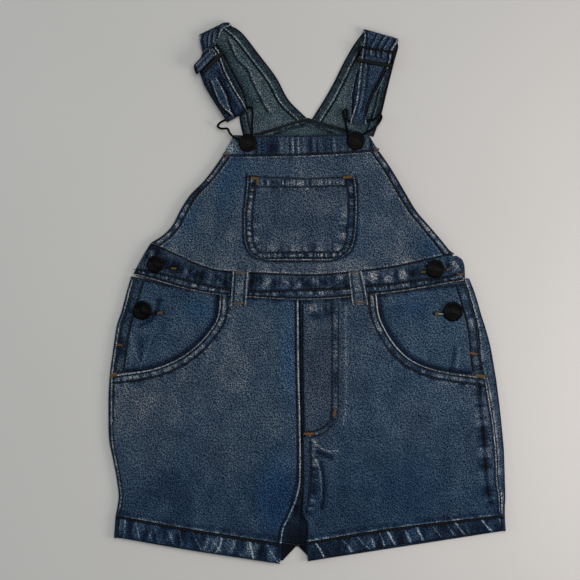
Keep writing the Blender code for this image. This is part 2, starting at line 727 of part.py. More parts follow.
def add_button(collection, button):
    """A turned tack button: a dished cap with a rounded rim, on a stem."""
    cap = button.stem
    profile = ((0.0, cap + 1.9), (button.radius - 3.0, cap + 1.7), (button.radius - 1.9, cap + 2.5),
               (button.radius - 0.7, cap + 2.4), (button.radius, cap + 1.5), (button.radius - 0.4, cap + 0.4),
               (button.radius - 1.4, cap), (STEM_RADIUS, cap), (STEM_RADIUS, 0.0), (0.0, 0.0))
    mesh = bpy.data.meshes.new(button.name)
    shape = bmesh.new()
    points = [shape.verts.new((radius * MM, 0.0, height * MM)) for radius, height in profile]
    for upper, lower in zip(points, points[1:]):
        shape.edges.new((upper, lower))
    shape.to_mesh(mesh)
    shape.free()
    piece = add_object(button.name, mesh, BLACK_METAL, collection)
    level = button.base + GAP + cloth_level(button.x, button.y) - FRONT_LEVEL
    piece.location = Vector((button.x, button.y, level)) * MM
    screw = piece.modifiers.new("Turning", "SCREW")
    screw.steps = BUTTON_STEPS
    screw.render_steps = BUTTON_STEPS
    screw.use_merge_vertices = True
    screw.merge_threshold = 0.00001
    return piece


def build_bib(collection):
    """The bib with its hemmed edges, top band and pocket."""
    add_panel(collection, "bib_front", BIB, MID_DENIM, trims=(ARMHOLE_HEM, ARMHOLE_HEM))
    add_strip(collection, "bib_edge_left", BIB, -1, ARMHOLE_HEM, DARK_DENIM, HEM_WALL, 0.0)
    add_strip(collection, "bib_edge_right", BIB, 1, ARMHOLE_HEM, DARK_DENIM, HEM_WALL, 0.0)
    add_panel(collection, "bib_top_band", BIB_TOP_BAND, DARK_DENIM, HEM_WALL)
    add_panel(collection, "bib_pocket", BIB_POCKET, MID_DENIM, PATCH_WALL, lift=WALL + GAP)


def add_strip(collection, name, rungs, sign, width, colour, wall, lift):
    """The hemmed edge of a panel: a strip as wide as the hem along one end of its rungs."""
    strip = []
    for rung in blend_rows(rungs, CELL):
        share = width / math.dist(rung[0:2], rung[2:4])
        near, far = (0.0, share) if sign < 0 else (1.0 - share, 1.0)
        strip.append(Rung(*point_on(rung, near), *point_on(rung, far)))
    add_panel(collection, name, strip, colour, wall, lift, cell=2.0 * CELL)


def build_front(collection):
    """The waistband, front legs, pocket facings, plackets, fly, belt loops and hems."""
    add_panel(collection, "waistband_front", WAISTBAND, DARK_DENIM, HEM_WALL)
    legs = (
        ("left", -1, SIDE_LEFT, stretch_of(WAIST_SEAM, -69.4, -6.7), POCKET_EDGE_LEFT, LEG_LEVELS_LEFT,
         HEM_SEAM_LEFT, POCKET_FACING_LEFT),
        ("right", 1, SIDE_RIGHT, stretch_of(WAIST_SEAM, -6.4, 55.4), POCKET_EDGE_RIGHT, LEG_LEVELS_RIGHT,
         HEM_SEAM_RIGHT, POCKET_FACING_RIGHT),
    )
    for hand, sign, side, waist, pocket_edge, levels, hem_seam, facing in legs:
        seam = fitted_hem(side, sign, hem_seam)
        rungs = leg_rungs(side, sign, waist, pocket_edge, levels, seam)
        add_panel(collection, "leg_front_" + hand, rungs, MID_DENIM)
        foot = hem_foot(side, sign, seam)
        add_panel(collection, "hem_front_" + hand, (seam, foot), DARK_DENIM, HEM_WALL)
        facing = facing_rungs(side, sign, facing)
        trims = (PLACKET, 0.0) if sign < 0 else (0.0, PLACKET)
        add_panel(collection, "pocket_facing_" + hand, facing, MID_DENIM, lift=-TUCK, trims=trims)
        add_strip(collection, "placket_" + hand, facing, sign, PLACKET, DARK_DENIM, WALL, -TUCK)
    add_panel(collection, "fly_flap", FLY, DARK_DENIM, PATCH_WALL, lift=WALL + GAP)
    for name, rungs in (("belt_loop_left", BELT_LOOP_LEFT), ("belt_loop_right", BELT_LOOP_RIGHT)):
        add_panel(collection, name, rungs, MID_DENIM, PATCH_WALL, lift=HEM_WALL + GAP + LOOP_LIFT)


def fitted_hem(side, sign, seam):
    """The hem's seam, with its outer end on the side seam."""
    if sign < 0:
        return seam._replace(left_x=lookup(side, seam.left_y, "seam_x"))
    return seam._replace(right_x=lookup(side, seam.right_y, "seam_x"))


def hem_foot(side, sign, seam):
    """The folded lower edge of a front hem: the height at the side, and the inner corner."""
    foot = FOOT_LEFT if sign < 0 else FOOT_RIGHT
    rung = order_rung(sign, lookup(side, foot.side_y, "seam_x"), foot.side_y, foot.inner_x, foot.inner_y)
    return rung._replace(quarter=seam.quarter, half=seam.half, three_quarters=seam.three_quarters)


def build_back(collection):
    """The back: bib, waist, and legs and hems that wrap round the sides."""
    add_panel(collection, "back_bib", BACK_BIB, INSIDE_DENIM, cell=BACK_CELL, level=ground_level)
    add_panel(collection, "back_waist", BACK_WAIST, MID_DENIM, cell=BACK_CELL, level=ground_level)
    top = FRONT_LEVEL + WALL
    hem_top = FRONT_LEVEL + HEM_WALL
    for hand, sign, side in (("left", -1, SIDE_LEFT), ("right", 1, SIDE_RIGHT)):
        spans = [waist_span(sign, lookup(side, BACK_SEAM.left_y, "fold_x"))]
        for row in BACK_LEVELS:
            inner_x = lookup(SEAT_SEAM, row.centre_y, "x") + sign * 0.5 * GAP
            spans.append((inner_x, row.centre_y, row.side_y, 0.0, 0.0, 0.0))
        rows = dense_spans(spans, BACK_CELL)
        add_wrap(collection, "leg_back_" + hand, side, sign, rows, MID_DENIM, WALL, top)
        inner_x, inner_y, side_y = rows[-1][:3]
        drop = BACK_HEM_DROP_LEFT if sign < 0 else BACK_HEM_DROP_RIGHT
        hem = []
        for row in range(BACK_HEM_ROWS + 1):
            down = row / BACK_HEM_ROWS
            hem.append((inner_x + sign * BACK_HEM_SLANT * down,
                        inner_y - GAP - (BACK_HEM_INNER - GAP) * down,
                        side_y - GAP - (drop - GAP) * down, 0.0, 0.0, 0.0))
        add_wrap(collection, "hem_back_" + hand, side, sign, hem, DARK_DENIM, HEM_WALL, hem_top)


def waist_span(sign, fold_x):
    """The top span of a back leg, along the seam under the back waist."""
    inner_x = lookup(SEAT_SEAM, 0.0, "x") + sign * 0.5 * GAP
    rung = stretch_of(BACK_SEAM, *sorted((inner_x, fold_x)))
    sags = rung.quarter, rung.half, rung.three_quarters
    if sign < 0:
        return inner_x, rung.right_y - SEAT_GAP, rung.left_y - SEAT_GAP, *reversed(sags)
    return inner_x, rung.left_y - SEAT_GAP, rung.right_y - SEAT_GAP, *sags


def dense_spans(spans, cell):
    """Sections of a back panel about a cell apart."""
    dense = []
    for index in range(len(spans) - 1):
        steps = max(1, round(abs(spans[index][2] - spans[index + 1][2]) / cell))
        for step in range(steps):
            dense.append(tuple(blend(column, index + step / steps) for column in zip(*spans)))
    dense.append(spans[-1])
    return dense


def build_straps(collection):
    """The straps, with their sliders, wire buckles and the buttons that hold them."""
    add_strap(collection, "strap_left_back", STRAP_LEFT_RISE, STRAP_LEFT_FOLD, STRAP_LEFT_DROP,
              INSIDE_DENIM)
    add_strap(collection, "strap_right_back", STRAP_RIGHT_RISE, STRAP_RIGHT_FOLD, STRAP_RIGHT_DROP,
              INSIDE_DENIM)
    add_strap(collection, "strap_left_front", STRAP_LEFT_RUN, STRAP_LEFT_TURN, STRAP_LEFT_RETURN,
              MID_DENIM)
    add_strap(collection, "strap_right_front", STRAP_RIGHT_RUN, STRAP_RIGHT_TURN, STRAP_RIGHT_RETURN,
              MID_DENIM)
    add_slider(collection, "slider_left", SLIDER_LEFT)
    add_slider(collection, "slider_right", SLIDER_RIGHT)
    add_wire(collection, "buckle_left", BUCKLE_LEFT)
    add_wire(collection, "buckle_right", BUCKLE_RIGHT)


def main():
    """Clear the scene and build the garment."""
    for old in list(bpy.data.objects):
        bpy.data.objects.remove(old, do_unlink=True)
    collection = bpy.data.collections.new(GARMENT)
    bpy.context.scene.collection.children.link(collection)
    build_back(collection)
    build_front(collection)
    build_bib(collection)
    build_straps(collection)
    for button in BUTTONS:
        add_button(collection, button)
    bpy.context.view_layer.update()


main()
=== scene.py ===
"""Toddler's denim shortalls laid flat, front side up: the looks.

The cloth pieces follow the same tables as the CAD solids, in millimetres, with a fine grid
that carries folds, puckers and wear. Stitches, buttonholes and hardware lie on them.
"""

import logging
import math
from dataclasses import dataclass, field
from enum import Enum
from typing import Callable, NamedTuple, Sequence

import bmesh
import bpy
import numpy as np
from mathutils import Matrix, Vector

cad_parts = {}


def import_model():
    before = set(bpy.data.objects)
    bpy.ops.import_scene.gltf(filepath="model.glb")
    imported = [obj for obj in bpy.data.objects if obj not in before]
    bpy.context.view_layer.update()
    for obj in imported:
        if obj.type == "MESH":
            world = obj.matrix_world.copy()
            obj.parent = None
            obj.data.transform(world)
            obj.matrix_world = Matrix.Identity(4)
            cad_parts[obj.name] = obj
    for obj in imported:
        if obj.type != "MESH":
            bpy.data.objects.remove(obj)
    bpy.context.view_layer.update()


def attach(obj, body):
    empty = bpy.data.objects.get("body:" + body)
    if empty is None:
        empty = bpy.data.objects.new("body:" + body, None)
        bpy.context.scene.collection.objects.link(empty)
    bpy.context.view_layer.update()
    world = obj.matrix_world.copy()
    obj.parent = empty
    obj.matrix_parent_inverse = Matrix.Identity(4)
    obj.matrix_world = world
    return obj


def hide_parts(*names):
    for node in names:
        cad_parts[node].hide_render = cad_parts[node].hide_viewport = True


log = logging.getLogger("shortalls")
Array = np.ndarray
Points = Sequence[Sequence[float]]

MM = 0.001
BODY = "root"

# Cloth, in millimetres
WALL = 1.2
HEM_WALL = 1.7
PATCH_WALL = 1.0
GAP = 0.3
LIP_GAP = 0.5
SEAT_GAP = 0.8
FRONT_LEVEL = 3.3
TUCK = 1.6
ARMHOLE_HEM = 7.0
PLACKET = 8.0
LOOP_LIFT = 0.5
CELL = 0.75           # grid of the cloth that shows
HIDDEN_CELL = 3.0     # grid of the cloth that is covered
UNDER_STEP = 6        # the underside's grid is this much coarser
BEND_STEPS = 12       # steps round a folded side
LIP_STEPS = 6         # steps from the fold to the side seam
STRIP_STEP = 6.0      # rows of the narrow strips along an edge
STITCH_INSET = 2.2    # rows of stitches on straps and belt loops

# Straps
STRAP_WALL = 1.1
STRAP_CELL = 0.8
STRAP_ACROSS = 68

# Hardware
WIRE_RADIUS = 0.9
STEM_RADIUS = 2.2
SLIDER_WIDTH = 30.0
SLIDER_DEPTH = 13.3
LEFT_FRAME = (23.5, 10.8)   # the left one's width and depth, drawn in by its strap
SLIDER_BAR = 1.6
SLIDER_LOW_BAR = 3.0
SLIDER_PLATE = 1.4

# How much stronger marks show on the cloth than their tables give them
DARK_GAIN = 1.4
PALE_GAIN = 1.1
LINE_GAIN = 1.5
PALE_LINE_GAIN = 1.2
LINE_WIDTH = 1.0      # a mark narrower than this is a line
PUCKER_GAIN = 1.3
PALE_PUCKER = 0.85    # share of a pucker's pale side that shows

# Camera and light, in metres
VIEW_X, VIEW_Y = -0.0136, 0.0016
VIEW_HEIGHT = 1.2
SENSOR_WIDTH = 36.0   # in millimetres, as the lens
VIEW_SPAN = 0.464     # what the square photograph spans at the garment


class Slot(Enum):
    """Material slots of the part's record."""

    DENIM = "denim"
    DARK = "denim_dark"
    INSIDE = "denim_inside"
    METAL = "black_metal"


class Rung(NamedTuple):
    """One section of a panel: its two ends, how far it sags between them, and a point's rise."""

    left_x: float
    left_y: float
    right_x: float
    right_y: float
    quarter: float = 0.0
    half: float = 0.0
    three_quarters: float = 0.0
    peak: float = 0.0


class Station(NamedTuple):
    """One section of a strap, with the level of the strap's outer face."""

    left_x: float
    left_y: float
    right_x: float
    right_y: float
    level: float


class Side(NamedTuple):
    """The side of the garment at one height: its fold, and the seam in front of it."""

    y: float
    fold_x: float
    seam_x: float


class Facing(NamedTuple):
    """A row of a pocket facing: its height at the side seam, and its end under the pocket's edge."""

    side_y: float
    inner_x: float
    inner_y: float


class PocketPoint(NamedTuple):
    """A point of a pocket's edge, and the leg's height at the centre seam on the same section."""

    x: float
    y: float
    centre_y: float


class LegLevel(NamedTuple):
    """The heights of a leg's section at the side and at the centre."""

    side_y: float
    centre_y: float


class Centre(NamedTuple):
    """The inner edges of the two front legs at one height."""

    y: float
    left_x: float
    right_x: float


class Foot(NamedTuple):
    """Lower edge of a front hem: its height at the side seam, and its inner corner."""

    side_y: float
    inner_x: float
    inner_y: float


class Seat(NamedTuple):
    """The seat's centre seam at one height."""

    y: float
    x: float


class Slider(NamedTuple):
    """A slider: centre, turn in degrees, level of its outer bars, and how much lower its middle bar is."""

    x: float
    y: float
    turn: float
    level: float
    dip: float


class Swell(NamedTuple):
    """A soft rise of the front cloth."""

    x: float
    y: float
    reach_x: float
    reach_y: float
    rise: float


class Crease(NamedTuple):
    """A ridge of the front cloth, or a trough where the rise is below zero."""

    from_x: float
    from_y: float
    to_x: float
    to_y: float
    width: float
    rise: float


class WirePoint(NamedTuple):
    """A point of a wire's centre line."""

    x: float
    y: float
    level: float


class Button(NamedTuple):
    """A tack button: its centre, its cap's radius, and its stem under the cap."""

    name: str
    x: float
    y: float
    radius: float
    stem: float
    base: float


def table(kind: type, *rows: tuple[float, ...]) -> tuple:
    """A table of one kind of row, from the rows' numbers."""
    return tuple(kind(*row) for row in rows)


# Seams that two or more panels share
BAND_FOOT = Rung(-68.0, 108.0, 57.6, 112.2, 1.0, 1.4, 1.0)
BIB_SEAM = Rung(-124.6, 39.4, 115.6, 31.0, 20.6, 21.2, 14.4)
WAIST_SEAM = Rung(-138.8, 14.0, 125.2, 9.2, 14.6, 17.6, 11.8)
HEM_SEAM_LEFT = Rung(-151.2, -178.6, -20.3, -200.8, 0.6, 0.8, 0.4)
HEM_SEAM_RIGHT = Rung(-1.2, -199.8, 156.6, -177.8, -1.2, -1.6, -0.8)

BACK_SEAM = Rung(-136.0, 12.6, 123.0, 10.8, 9.5, 17.2, 8.8)

BIB = (
    BAND_FOOT,
    Rung(-75.2, 97.6, 64.8, 102.0, 0.4, 0.8, 0.4),
    Rung(-82.4, 88.5, 72.0, 90.4),
    Rung(-93.6, 77.0, 79.6, 77.2),
    Rung(-101.6, 64.5, 88.0, 63.6, 1.0, 1.5, 1.0),
    Rung(-107.2, 53.6, 96.0, 54.4, 4.0, 4.5, 3.0),
    Rung(-115.2, 45.2, 104.8, 44.2, 11.0, 11.5, 8.0),
    BIB_SEAM,
)
BIB_TOP_BAND = (
    Rung(-58.6, 125.2, 48.6, 126.8, 0.6, 1.2, 0.6),
    Rung(-63.0, 116.8, 53.0, 119.2, 0.8, 1.2, 0.8),
    BAND_FOOT,
)
WAISTBAND = (
    BIB_SEAM,
    Rung(-132.4, 26.4, 121.2, 20.0, 17.6, 19.4, 13.2),
    WAIST_SEAM,
)
BIB_POCKET = table(
    Rung,
    (-47.2, 93.2, 37.6, 92.8, 1.2, 2.1, 1.2), (-48.4, 77.6, 39.2, 80.0), (-50.2, 60.0, 39.5, 65.6),
    (-50.0, 44.8, 38.4, 46.4), (-47.4, 34.2, 35.4, 34.8), (-41.0, 28.0, 28.6, 28.6),
    (-31.2, 25.4, 16.8, 25.4),
)
POCKET_FACING_LEFT = table(
    Facing,
    (11.6, -68.4, -1.8), (0.4, -67.6, -12.8), (-14.4, -70.4, -25.6), (-27.2, -78.6, -38.2),
    (-42.4, -91.6, -51.0), (-54.4, -116.2, -61.8), (-62.6, -142.0, -66.6),
)
POCKET_FACING_RIGHT = table(
    Facing,
    (7.0, 54.0, -2.0), (-2.2, 54.0, -14.0), (-14.4, 58.6, -29.0), (-27.2, 69.0, -43.4),
    (-40.0, 83.6, -54.6), (-51.2, 103.8, -62.2), (-60.8, 127.8, -66.4),
)
FLY = table(
    Rung,
    (-4.4, -9.4, 25.3, -8.0), (-4.4, -38.4, 25.3, -38.4), (-4.0, -70.4, 25.3, -70.4),
    (-3.6, -92.8, 25.1, -92.8), (-3.4, -102.4, 23.0, -102.0), (-3.2, -110.4, 17.0, -110.0),
    (-3.0, -116.0, 7.2, -116.0),
)
BELT_LOOP_LEFT = table(
    Rung,
    (-59.2, 17.0, -46.2, 17.0), (-60.2, 3.0, -47.4, 3.0), (-61.0, -11.2, -48.4, -11.2),
)
BELT_LOOP_RIGHT = table(
    Rung,
    (32.8, 17.2, 43.5, 17.2), (34.2, 3.4, 46.2, 3.4), (36.0, -10.4, 48.8, -10.4),
)

# Front legs: the pocket's edge down to the side seam, the levels below it, and the centre seam
POCKET_EDGE_LEFT = table(
    PocketPoint,
    (-71.0, -19.0, -20.8), (-78.4, -32.0, -33.6), (-89.6, -44.0, -46.4), (-104.8, -54.4, -59.2),
    (-125.6, -62.0, -72.0),
)
POCKET_EDGE_RIGHT = table(
    PocketPoint,
    (57.4, -18.0, -20.8), (64.0, -32.8, -33.6), (72.8, -45.2, -46.4), (84.8, -55.2, -59.2),
    (104.8, -62.8, -72.0),
)
LEG_LEVELS_LEFT = table(
    LegLevel,
    (-66.4, -86.4), (-80.0, -98.4), (-94.4, -110.4), (-118.4, -130.4), (-138.4, -148.8), (-155.0, -164.0),
    (-167.5, -177.0), (-173.5, -190.0),
)
LEG_LEVELS_RIGHT = table(
    LegLevel,
    (-68.4, -86.4), (-78.6, -98.4), (-91.0, -110.4), (-110.4, -130.4), (-134.4, -148.8), (-151.0, -163.0),
    (-161.0, -174.4), (-169.6, -187.0),
)
CENTRE_SEAM = table(
    Centre,
    (-2.0, -6.7, -6.4), (-56.8, -6.2, -5.9), (-110.4, -5.0, -4.7), (-144.8, -4.6, -4.2),
    (-155.0, -5.8, -4.2), (-165.3, -8.0, -4.6), (-174.4, -11.2, -5.0), (-182.4, -16.2, -2.4),
    (-191.2, -19.0, 0.4), (-200.8, -20.6, -1.0),
)
FOOT_LEFT = Foot(-195.8, -21.4, -217.0)
FOOT_RIGHT = Foot(-190.2, 0.6, -215.0)

SIDE_LEFT = table(
    Side,
    (12.0, -140.6, -137.4), (0.5, -144.0, -140.8), (-14.4, -147.8, -144.6), (-27.0, -152.0, -148.8),
    (-45.3, -154.8, -151.6), (-68.0, -157.6, -154.4), (-86.4, -158.6, -154.8), (-102.4, -158.6, -154.6),
    (-116.0, -158.2, -154.4), (-134.4, -154.8, -151.5), (-150.4, -151.8, -148.6), (-163.0, -150.4, -147.2),
    (-171.0, -151.3, -148.1), (-179.0, -152.9, -149.7), (-197.5, -154.2, -151.0),
)
SIDE_RIGHT = table(
    Side,
    (12.0, 129.0, 124.4), (-4.0, 135.0, 129.6), (-15.5, 138.4, 133.0), (-30.4, 143.0, 136.4),
    (-43.0, 146.4, 137.6), (-56.8, 148.9, 138.8), (-70.4, 151.2, 142.8), (-93.3, 154.0, 146.8),
    (-110.4, 155.8, 149.4), (-127.5, 157.3, 151.2), (-150.4, 158.0, 152.0), (-165.3, 158.4, 154.0),
    (-171.0, 158.0, 154.3), (-178.0, 158.0, 154.6), (-192.0, 158.8, 155.6),
)

BACK_BIB = (
    Rung(-43.4, 125.5, 44.0, 125.7, peak=13.0),
    Rung(-54.0, 113.6, 46.0, 113.6),
    Rung(-79.0, 81.6, 68.6, 81.6),
    Rung(-102.0, 48.0, 92.0, 50.0, 4.0, 4.5, 3.0),
    Rung(-119.0, 33.4, 118.6, 30.2, 17.6, 21.0, 14.6),
)
BACK_WAIST = (
    Rung(-120.0, 32.6, 119.6, 29.3, 17.6, 21.0, 14.6),
    Rung(-124.0, 28.0, 124.4, 25.6, 16.0, 20.0, 13.2),
    Rung(-128.0, 22.6, 126.2, 20.0, 14.0, 19.0, 12.0),
    BACK_SEAM._replace(right_x=126.6, right_y=11.2),
)
BACK_LEVELS = table(
    LegLevel,
    (-14.0, -22.0), (-45.0, -50.0), (-75.0, -80.0), (-105.0, -112.0), (-135.0, -142.0), (-160.0, -174.0),
    (-178.4, -202.0),
)
SEAT_SEAM = (Seat(0.0, -6.0), Seat(-160.0, -6.0), Seat(-186.0, -6.8), Seat(-206.0, -8.0))
BACK_HEM_DROP_LEFT = 17.6   # the back hems' heights at the side
BACK_HEM_DROP_RIGHT = 12.2
BACK_HEM_INNER = 12.6    # its height at the seat seam
BACK_HEM_SLANT = 11.6    # how far its foot slants away from the seat seam

SWELLS = table(
    Swell,
    (-84.0, -122.0, 46.0, 44.0, 1.2), (78.0, -118.0, 46.0, 44.0, 1.2), (-8.0, 74.0, 52.0, 26.0, 0.7),
    (-60.0, -60.0, 26.0, 30.0, 0.5), (58.0, -66.0, 24.0, 26.0, 0.5),
)
CREASES = table(
    Crease,
    (3.0, -128.0, 11.0, -150.0, 6.5, 1.1), (13.5, -146.0, 14.0, -172.0, 6.5, -0.9),
    (9.0, -122.0, 24.0, -127.0, 6.5, 0.7), (-141.0, -36.0, -127.0, -58.0, 7.0, 0.8),
    (120.0, -44.0, 121.0, -60.0, 7.0, 0.7), (-138.0, -92.0, -130.0, -150.0, 9.0, 0.6),
    (-22.0, -140.0, -34.0, -180.0, 8.0, 0.9), (132.0, -96.0, 138.0, -150.0, 8.0, 0.7),
    (-96.0, 58.0, -84.0, 32.0, 8.0, 0.6), (78.0, 66.0, 96.0, 38.0, 8.0, 0.6),
)

# Straps: up the back, over the fold, down to the slider
STRAP_LEFT_RISE = table(
    Station,
    (-50.8, 123.4, -0.6, 139.4, 0.0), (-53.6, 135.8, -15.2, 154.4, 0.0), (-55.2, 150.4, -24.0, 170.7, 0.0),
    (-64.8, 171.2, -37.6, 189.0, 0.0), (-76.8, 192.8, -52.8, 208.0, 0.0),
)
STRAP_LEFT_FOLD = Station(-86.2, 205.4, -62.4, 217.0, 5.5)
STRAP_LEFT_DROP = table(
    Station,
    (-85.6, 201.0, -67.6, 211.2, 5.5), (-83.4, 191.0, -70.0, 202.8, 5.5),
)
STRAP_RIGHT_RISE = table(
    Station,
    (3.8, 138.2, 53.2, 124.0, 0.0), (15.2, 156.4, 59.8, 143.2, 0.0), (21.6, 168.0, 64.2, 161.6, 0.0),
    (30.4, 185.6, 69.8, 184.0, 0.0), (38.4, 199.2, 73.0, 196.0, 0.0),
)
STRAP_RIGHT_FOLD = Station(45.4, 210.0, 73.2, 202.0, 5.5)
STRAP_RIGHT_DROP = table(
    Station,
    (45.6, 204.0, 71.0, 197.4, 5.5), (44.2, 194.6, 67.4, 190.8, 5.5), (43.6, 189.0, 66.8, 185.4, 5.9),
)
# Straps: from the slider down to the buckle, round its wire and back up underneath
STRAP_LEFT_RUN = table(
    Station,
    (-83.6, 190.0, -71.2, 201.4, 5.2), (-85.4, 185.4, -73.1, 198.2, 5.1), (-88.6, 179.1, -72.2, 193.9, 9.0),
    (-86.8, 177.1, -70.4, 191.9, 9.0), (-84.9, 172.8, -68.9, 187.2, 5.1), (-82.4, 165.6, -65.0, 176.6, 5.4),
    (-77.0, 156.0, -56.8, 160.6, 5.9), (-70.0, 145.0, -50.4, 150.4, 6.5),
)
STRAP_LEFT_TURN = Station(-63.8, 135.0, -47.4, 144.2, 1.5)
STRAP_LEFT_RETURN = table(
    Station,
    (-69.8, 146.0, -53.6, 151.4, 1.5), (-76.0, 157.4, -60.0, 161.6, 1.5), (-80.8, 168.0, -66.4, 171.2, 1.5),
)
STRAP_RIGHT_RUN = table(
    Station,
    (43.5, 188.6, 66.7, 185.0, 5.9), (42.6, 181.6, 64.4, 177.8, 5.5), (41.3, 168.8, 59.6, 166.4, 5.6),
    (39.5, 154.7, 53.0, 154.7, 5.9), (36.8, 143.6, 48.8, 143.6, 6.5),
)
STRAP_RIGHT_TURN = Station(34.4, 134.0, 47.2, 134.0, 1.5)
STRAP_RIGHT_RETURN = table(
    Station,
    (34.2, 143.2, 45.6, 143.2, 1.5), (34.6, 155.2, 47.2, 155.2, 1.5), (36.8, 168.5, 52.0, 168.8, 1.5),
    (39.0, 177.6, 56.8, 176.0, 1.5),
)

SLIDER_LEFT = Slider(-77.9, 185.2, 45.0, 6.7, 0.1)
SLIDER_RIGHT = Slider(54.4, 187.2, -9.6, 6.6, 2.9)

# Wire buckles: a bar in the strap's turn, ears, and a narrow eye round the button's stem
BUCKLE_LEFT = table(
    WirePoint,
    (-64.4, 137.6, 4.0), (-56.0, 142.3, 4.0), (-47.6, 147.0, 4.0), (-44.4, 146.6, 4.4), (-43.4, 142.6, 4.8),
    (-43.8, 134.0, 5.8), (-43.6, 126.0, 6.5), (-43.3, 119.4, 6.5), (-45.0, 115.4, 6.5), (-47.2, 114.3, 6.5),
    (-49.8, 115.2, 6.5), (-51.8, 118.0, 6.5), (-53.4, 121.2, 6.5), (-58.0, 123.0, 6.5), (-61.6, 126.6, 6.2),
    (-63.4, 130.0, 5.6), (-68.4, 130.2, 5.0), (-71.2, 132.2, 4.6), (-69.0, 135.2, 4.2),
)
BUCKLE_RIGHT = table(
    WirePoint,
    (33.0, 136.6, 4.0), (41.0, 136.6, 4.0), (49.6, 136.8, 4.0), (55.0, 138.8, 4.0), (58.0, 141.6, 4.2),
    (59.2, 138.6, 4.8), (54.0, 131.0, 6.2), (44.4, 125.4, 6.5), (42.8, 121.0, 6.5), (41.0, 117.0, 6.5),
    (38.8, 116.1, 6.5), (36.6, 117.0, 6.5), (34.8, 121.0, 6.5), (32.0, 126.0, 6.5), (31.4, 131.4, 5.6),
    (29.8, 138.6, 4.8), (28.8, 143.4, 4.6), (31.2, 145.4, 4.2), (32.0, 141.6, 4.0),
)

BAND_TOP = FRONT_LEVEL + HEM_WALL
FACING_TOP = FRONT_LEVEL - TUCK + WALL
BUTTONS = (
    Button("bib_button_left", -47.2, 118.4, 7.6, 2.4, BAND_TOP),
    Button("bib_button_right", 38.8, 120.0, 7.6, 2.4, BAND_TOP),
    Button("waist_button_left", -120.8, 22.0, 7.2, 0.8, BAND_TOP),
    Button("waist_button_right", 102.0, 18.4, 7.6, 0.8, BAND_TOP),
    Button("hip_button_left", -131.2, -14.8, 8.0, 0.8, FACING_TOP),
    Button("hip_button_right", 116.4, -15.6, 8.2, 0.8, FACING_TOP),
)


def smooth(values: Array, places: Array) -> Array:
    """Values along rows of values, by cubic pieces that never overshoot.

    Args:
        values: values on the last axis, with any axes before it.
        places: places along the last axis, from 0 up.

    Returns:
        An array of the leading axes by the places.
    """
    values = np.asarray(values, float)
    steps = np.diff(values, axis=-1)
    slopes = np.zeros_like(values)
    slopes[..., 0], slopes[..., -1] = steps[..., 0], steps[..., -1]
    before, after = steps[..., :-1], steps[..., 1:]
    both = before + after
    level = np.abs(both) < 1e-12
    product = 2.0 * before * after / np.where(level, 1.0, both)
    slopes[..., 1:-1] = np.where((before * after > 0.0) & ~level, product, 0.0)
    index = np.clip(np.asarray(places).astype(int), 0, values.shape[-1] - 2)
    t = np.asarray(places) - index
    return (values[..., index] * (1 + 2 * t) * (1 - t) ** 2 + slopes[..., index] * t * (1 - t) ** 2
            + values[..., index + 1] * t * t * (3 - 2 * t) + slopes[..., index + 1] * t * t * (t - 1))


def lookup(table: Sequence[NamedTuple], heights: Array, column: str) -> Array:
    """Values of a named column at heights, from a table whose rows run downwards.

    Args:
        table: rows with a column y.
        heights: the heights to look up.
        column: the name of the column.

    Returns:
        The column's values at those heights.
    """
    downs = np.array([-row.y for row in table])
    places = np.interp(-np.asarray(heights, float), downs, np.arange(len(table)))
    return smooth(np.array([getattr(row, column) for row in table]), places)


def row_places(starts: Array, ends: Array, cell: float) -> Array:
    """Places of the dense rows between a table's rows.

    Args:
        starts: one end of each row, as x and y.
        ends: the other end of each row.
        cell: about how far apart the rows are.

    Returns:
        Places along the table, from 0 to its last row.
    """
    spans = np.maximum(np.hypot(*np.diff(starts, axis=0).T), np.hypot(*np.diff(ends, axis=0).T))
    places = [index + np.arange(steps) / steps
              for index, steps in enumerate(np.maximum(1, np.round(spans / cell)).astype(int))]
    return np.concatenate(places + [np.array([len(starts) - 1.0])])


def dense_rungs(rungs: Sequence[Rung], cell: float) -> Array:
    """Rungs about a cell apart, a line for each."""
    table = np.array(rungs, float)
    return smooth(table.T, row_places(table[:, 0:2], table[:, 2:4], cell)).T


def sag_at(sags: Array, share: Array) -> Array:
    """How far sections sag at shares of their lengths.

    Args:
        sags: the sags at a quarter, a half and three quarters, a line for each section.
        share: shares of the length, sections by points.

    Returns:
        The sags, sections by points.
    """
    ends = np.zeros((len(sags), 1))
    return np.stack([smooth(one, places) for one, places in zip(np.hstack([ends, sags, ends]), 4.0 * share)])


def points_on(rows: Array, share: Array) -> tuple[Array, Array]:
    """Points of rungs at shares of their lengths, with their sags.

    Args:
        rows: rungs, a line for each.
        share: shares of the length, rungs by points.

    Returns:
        The points' x and y.
    """
    sag = sag_at(rows[:, 4:7], share)
    x = rows[:, :1] + (rows[:, 2:3] - rows[:, :1]) * share
    y = rows[:, 1:2] + (rows[:, 3:4] - rows[:, 1:2]) * share - sag
    return x, y + rows[:, 7:8] * (1.0 - np.abs(2.0 * share - 1.0))


def point_on(rung: Rung, share: float) -> tuple[float, float]:
    """Point of a rung at a share of its length, with its sag."""
    x, y = points_on(np.array([rung], float), np.array([[share]]))
    return float(x[0, 0]), float(y[0, 0])


def stretch_of(rung: Rung, from_x: float, to_x: float) -> Rung:
    """The part of a rung between two places across.

    Args:
        rung: the whole rung.
        from_x: where the part starts, across.
        to_x: where it stops.

    Returns:
        The part as a rung of its own.
    """
    width = rung.right_x - rung.left_x
    ends = [(x - rung.left_x) / width for x in (from_x, to_x)]
    points = [point_on(rung, ends[0] + (ends[1] - ends[0]) * k / 4.0) for k in range(5)]
    (left_x, left_y), (right_x, right_y) = points[0], points[-1]
    sags = [left_y + (right_y - left_y) * k / 4.0 - points[k][1] for k in (1, 2, 3)]
    return Rung(left_x, left_y, right_x, right_y, *sags)


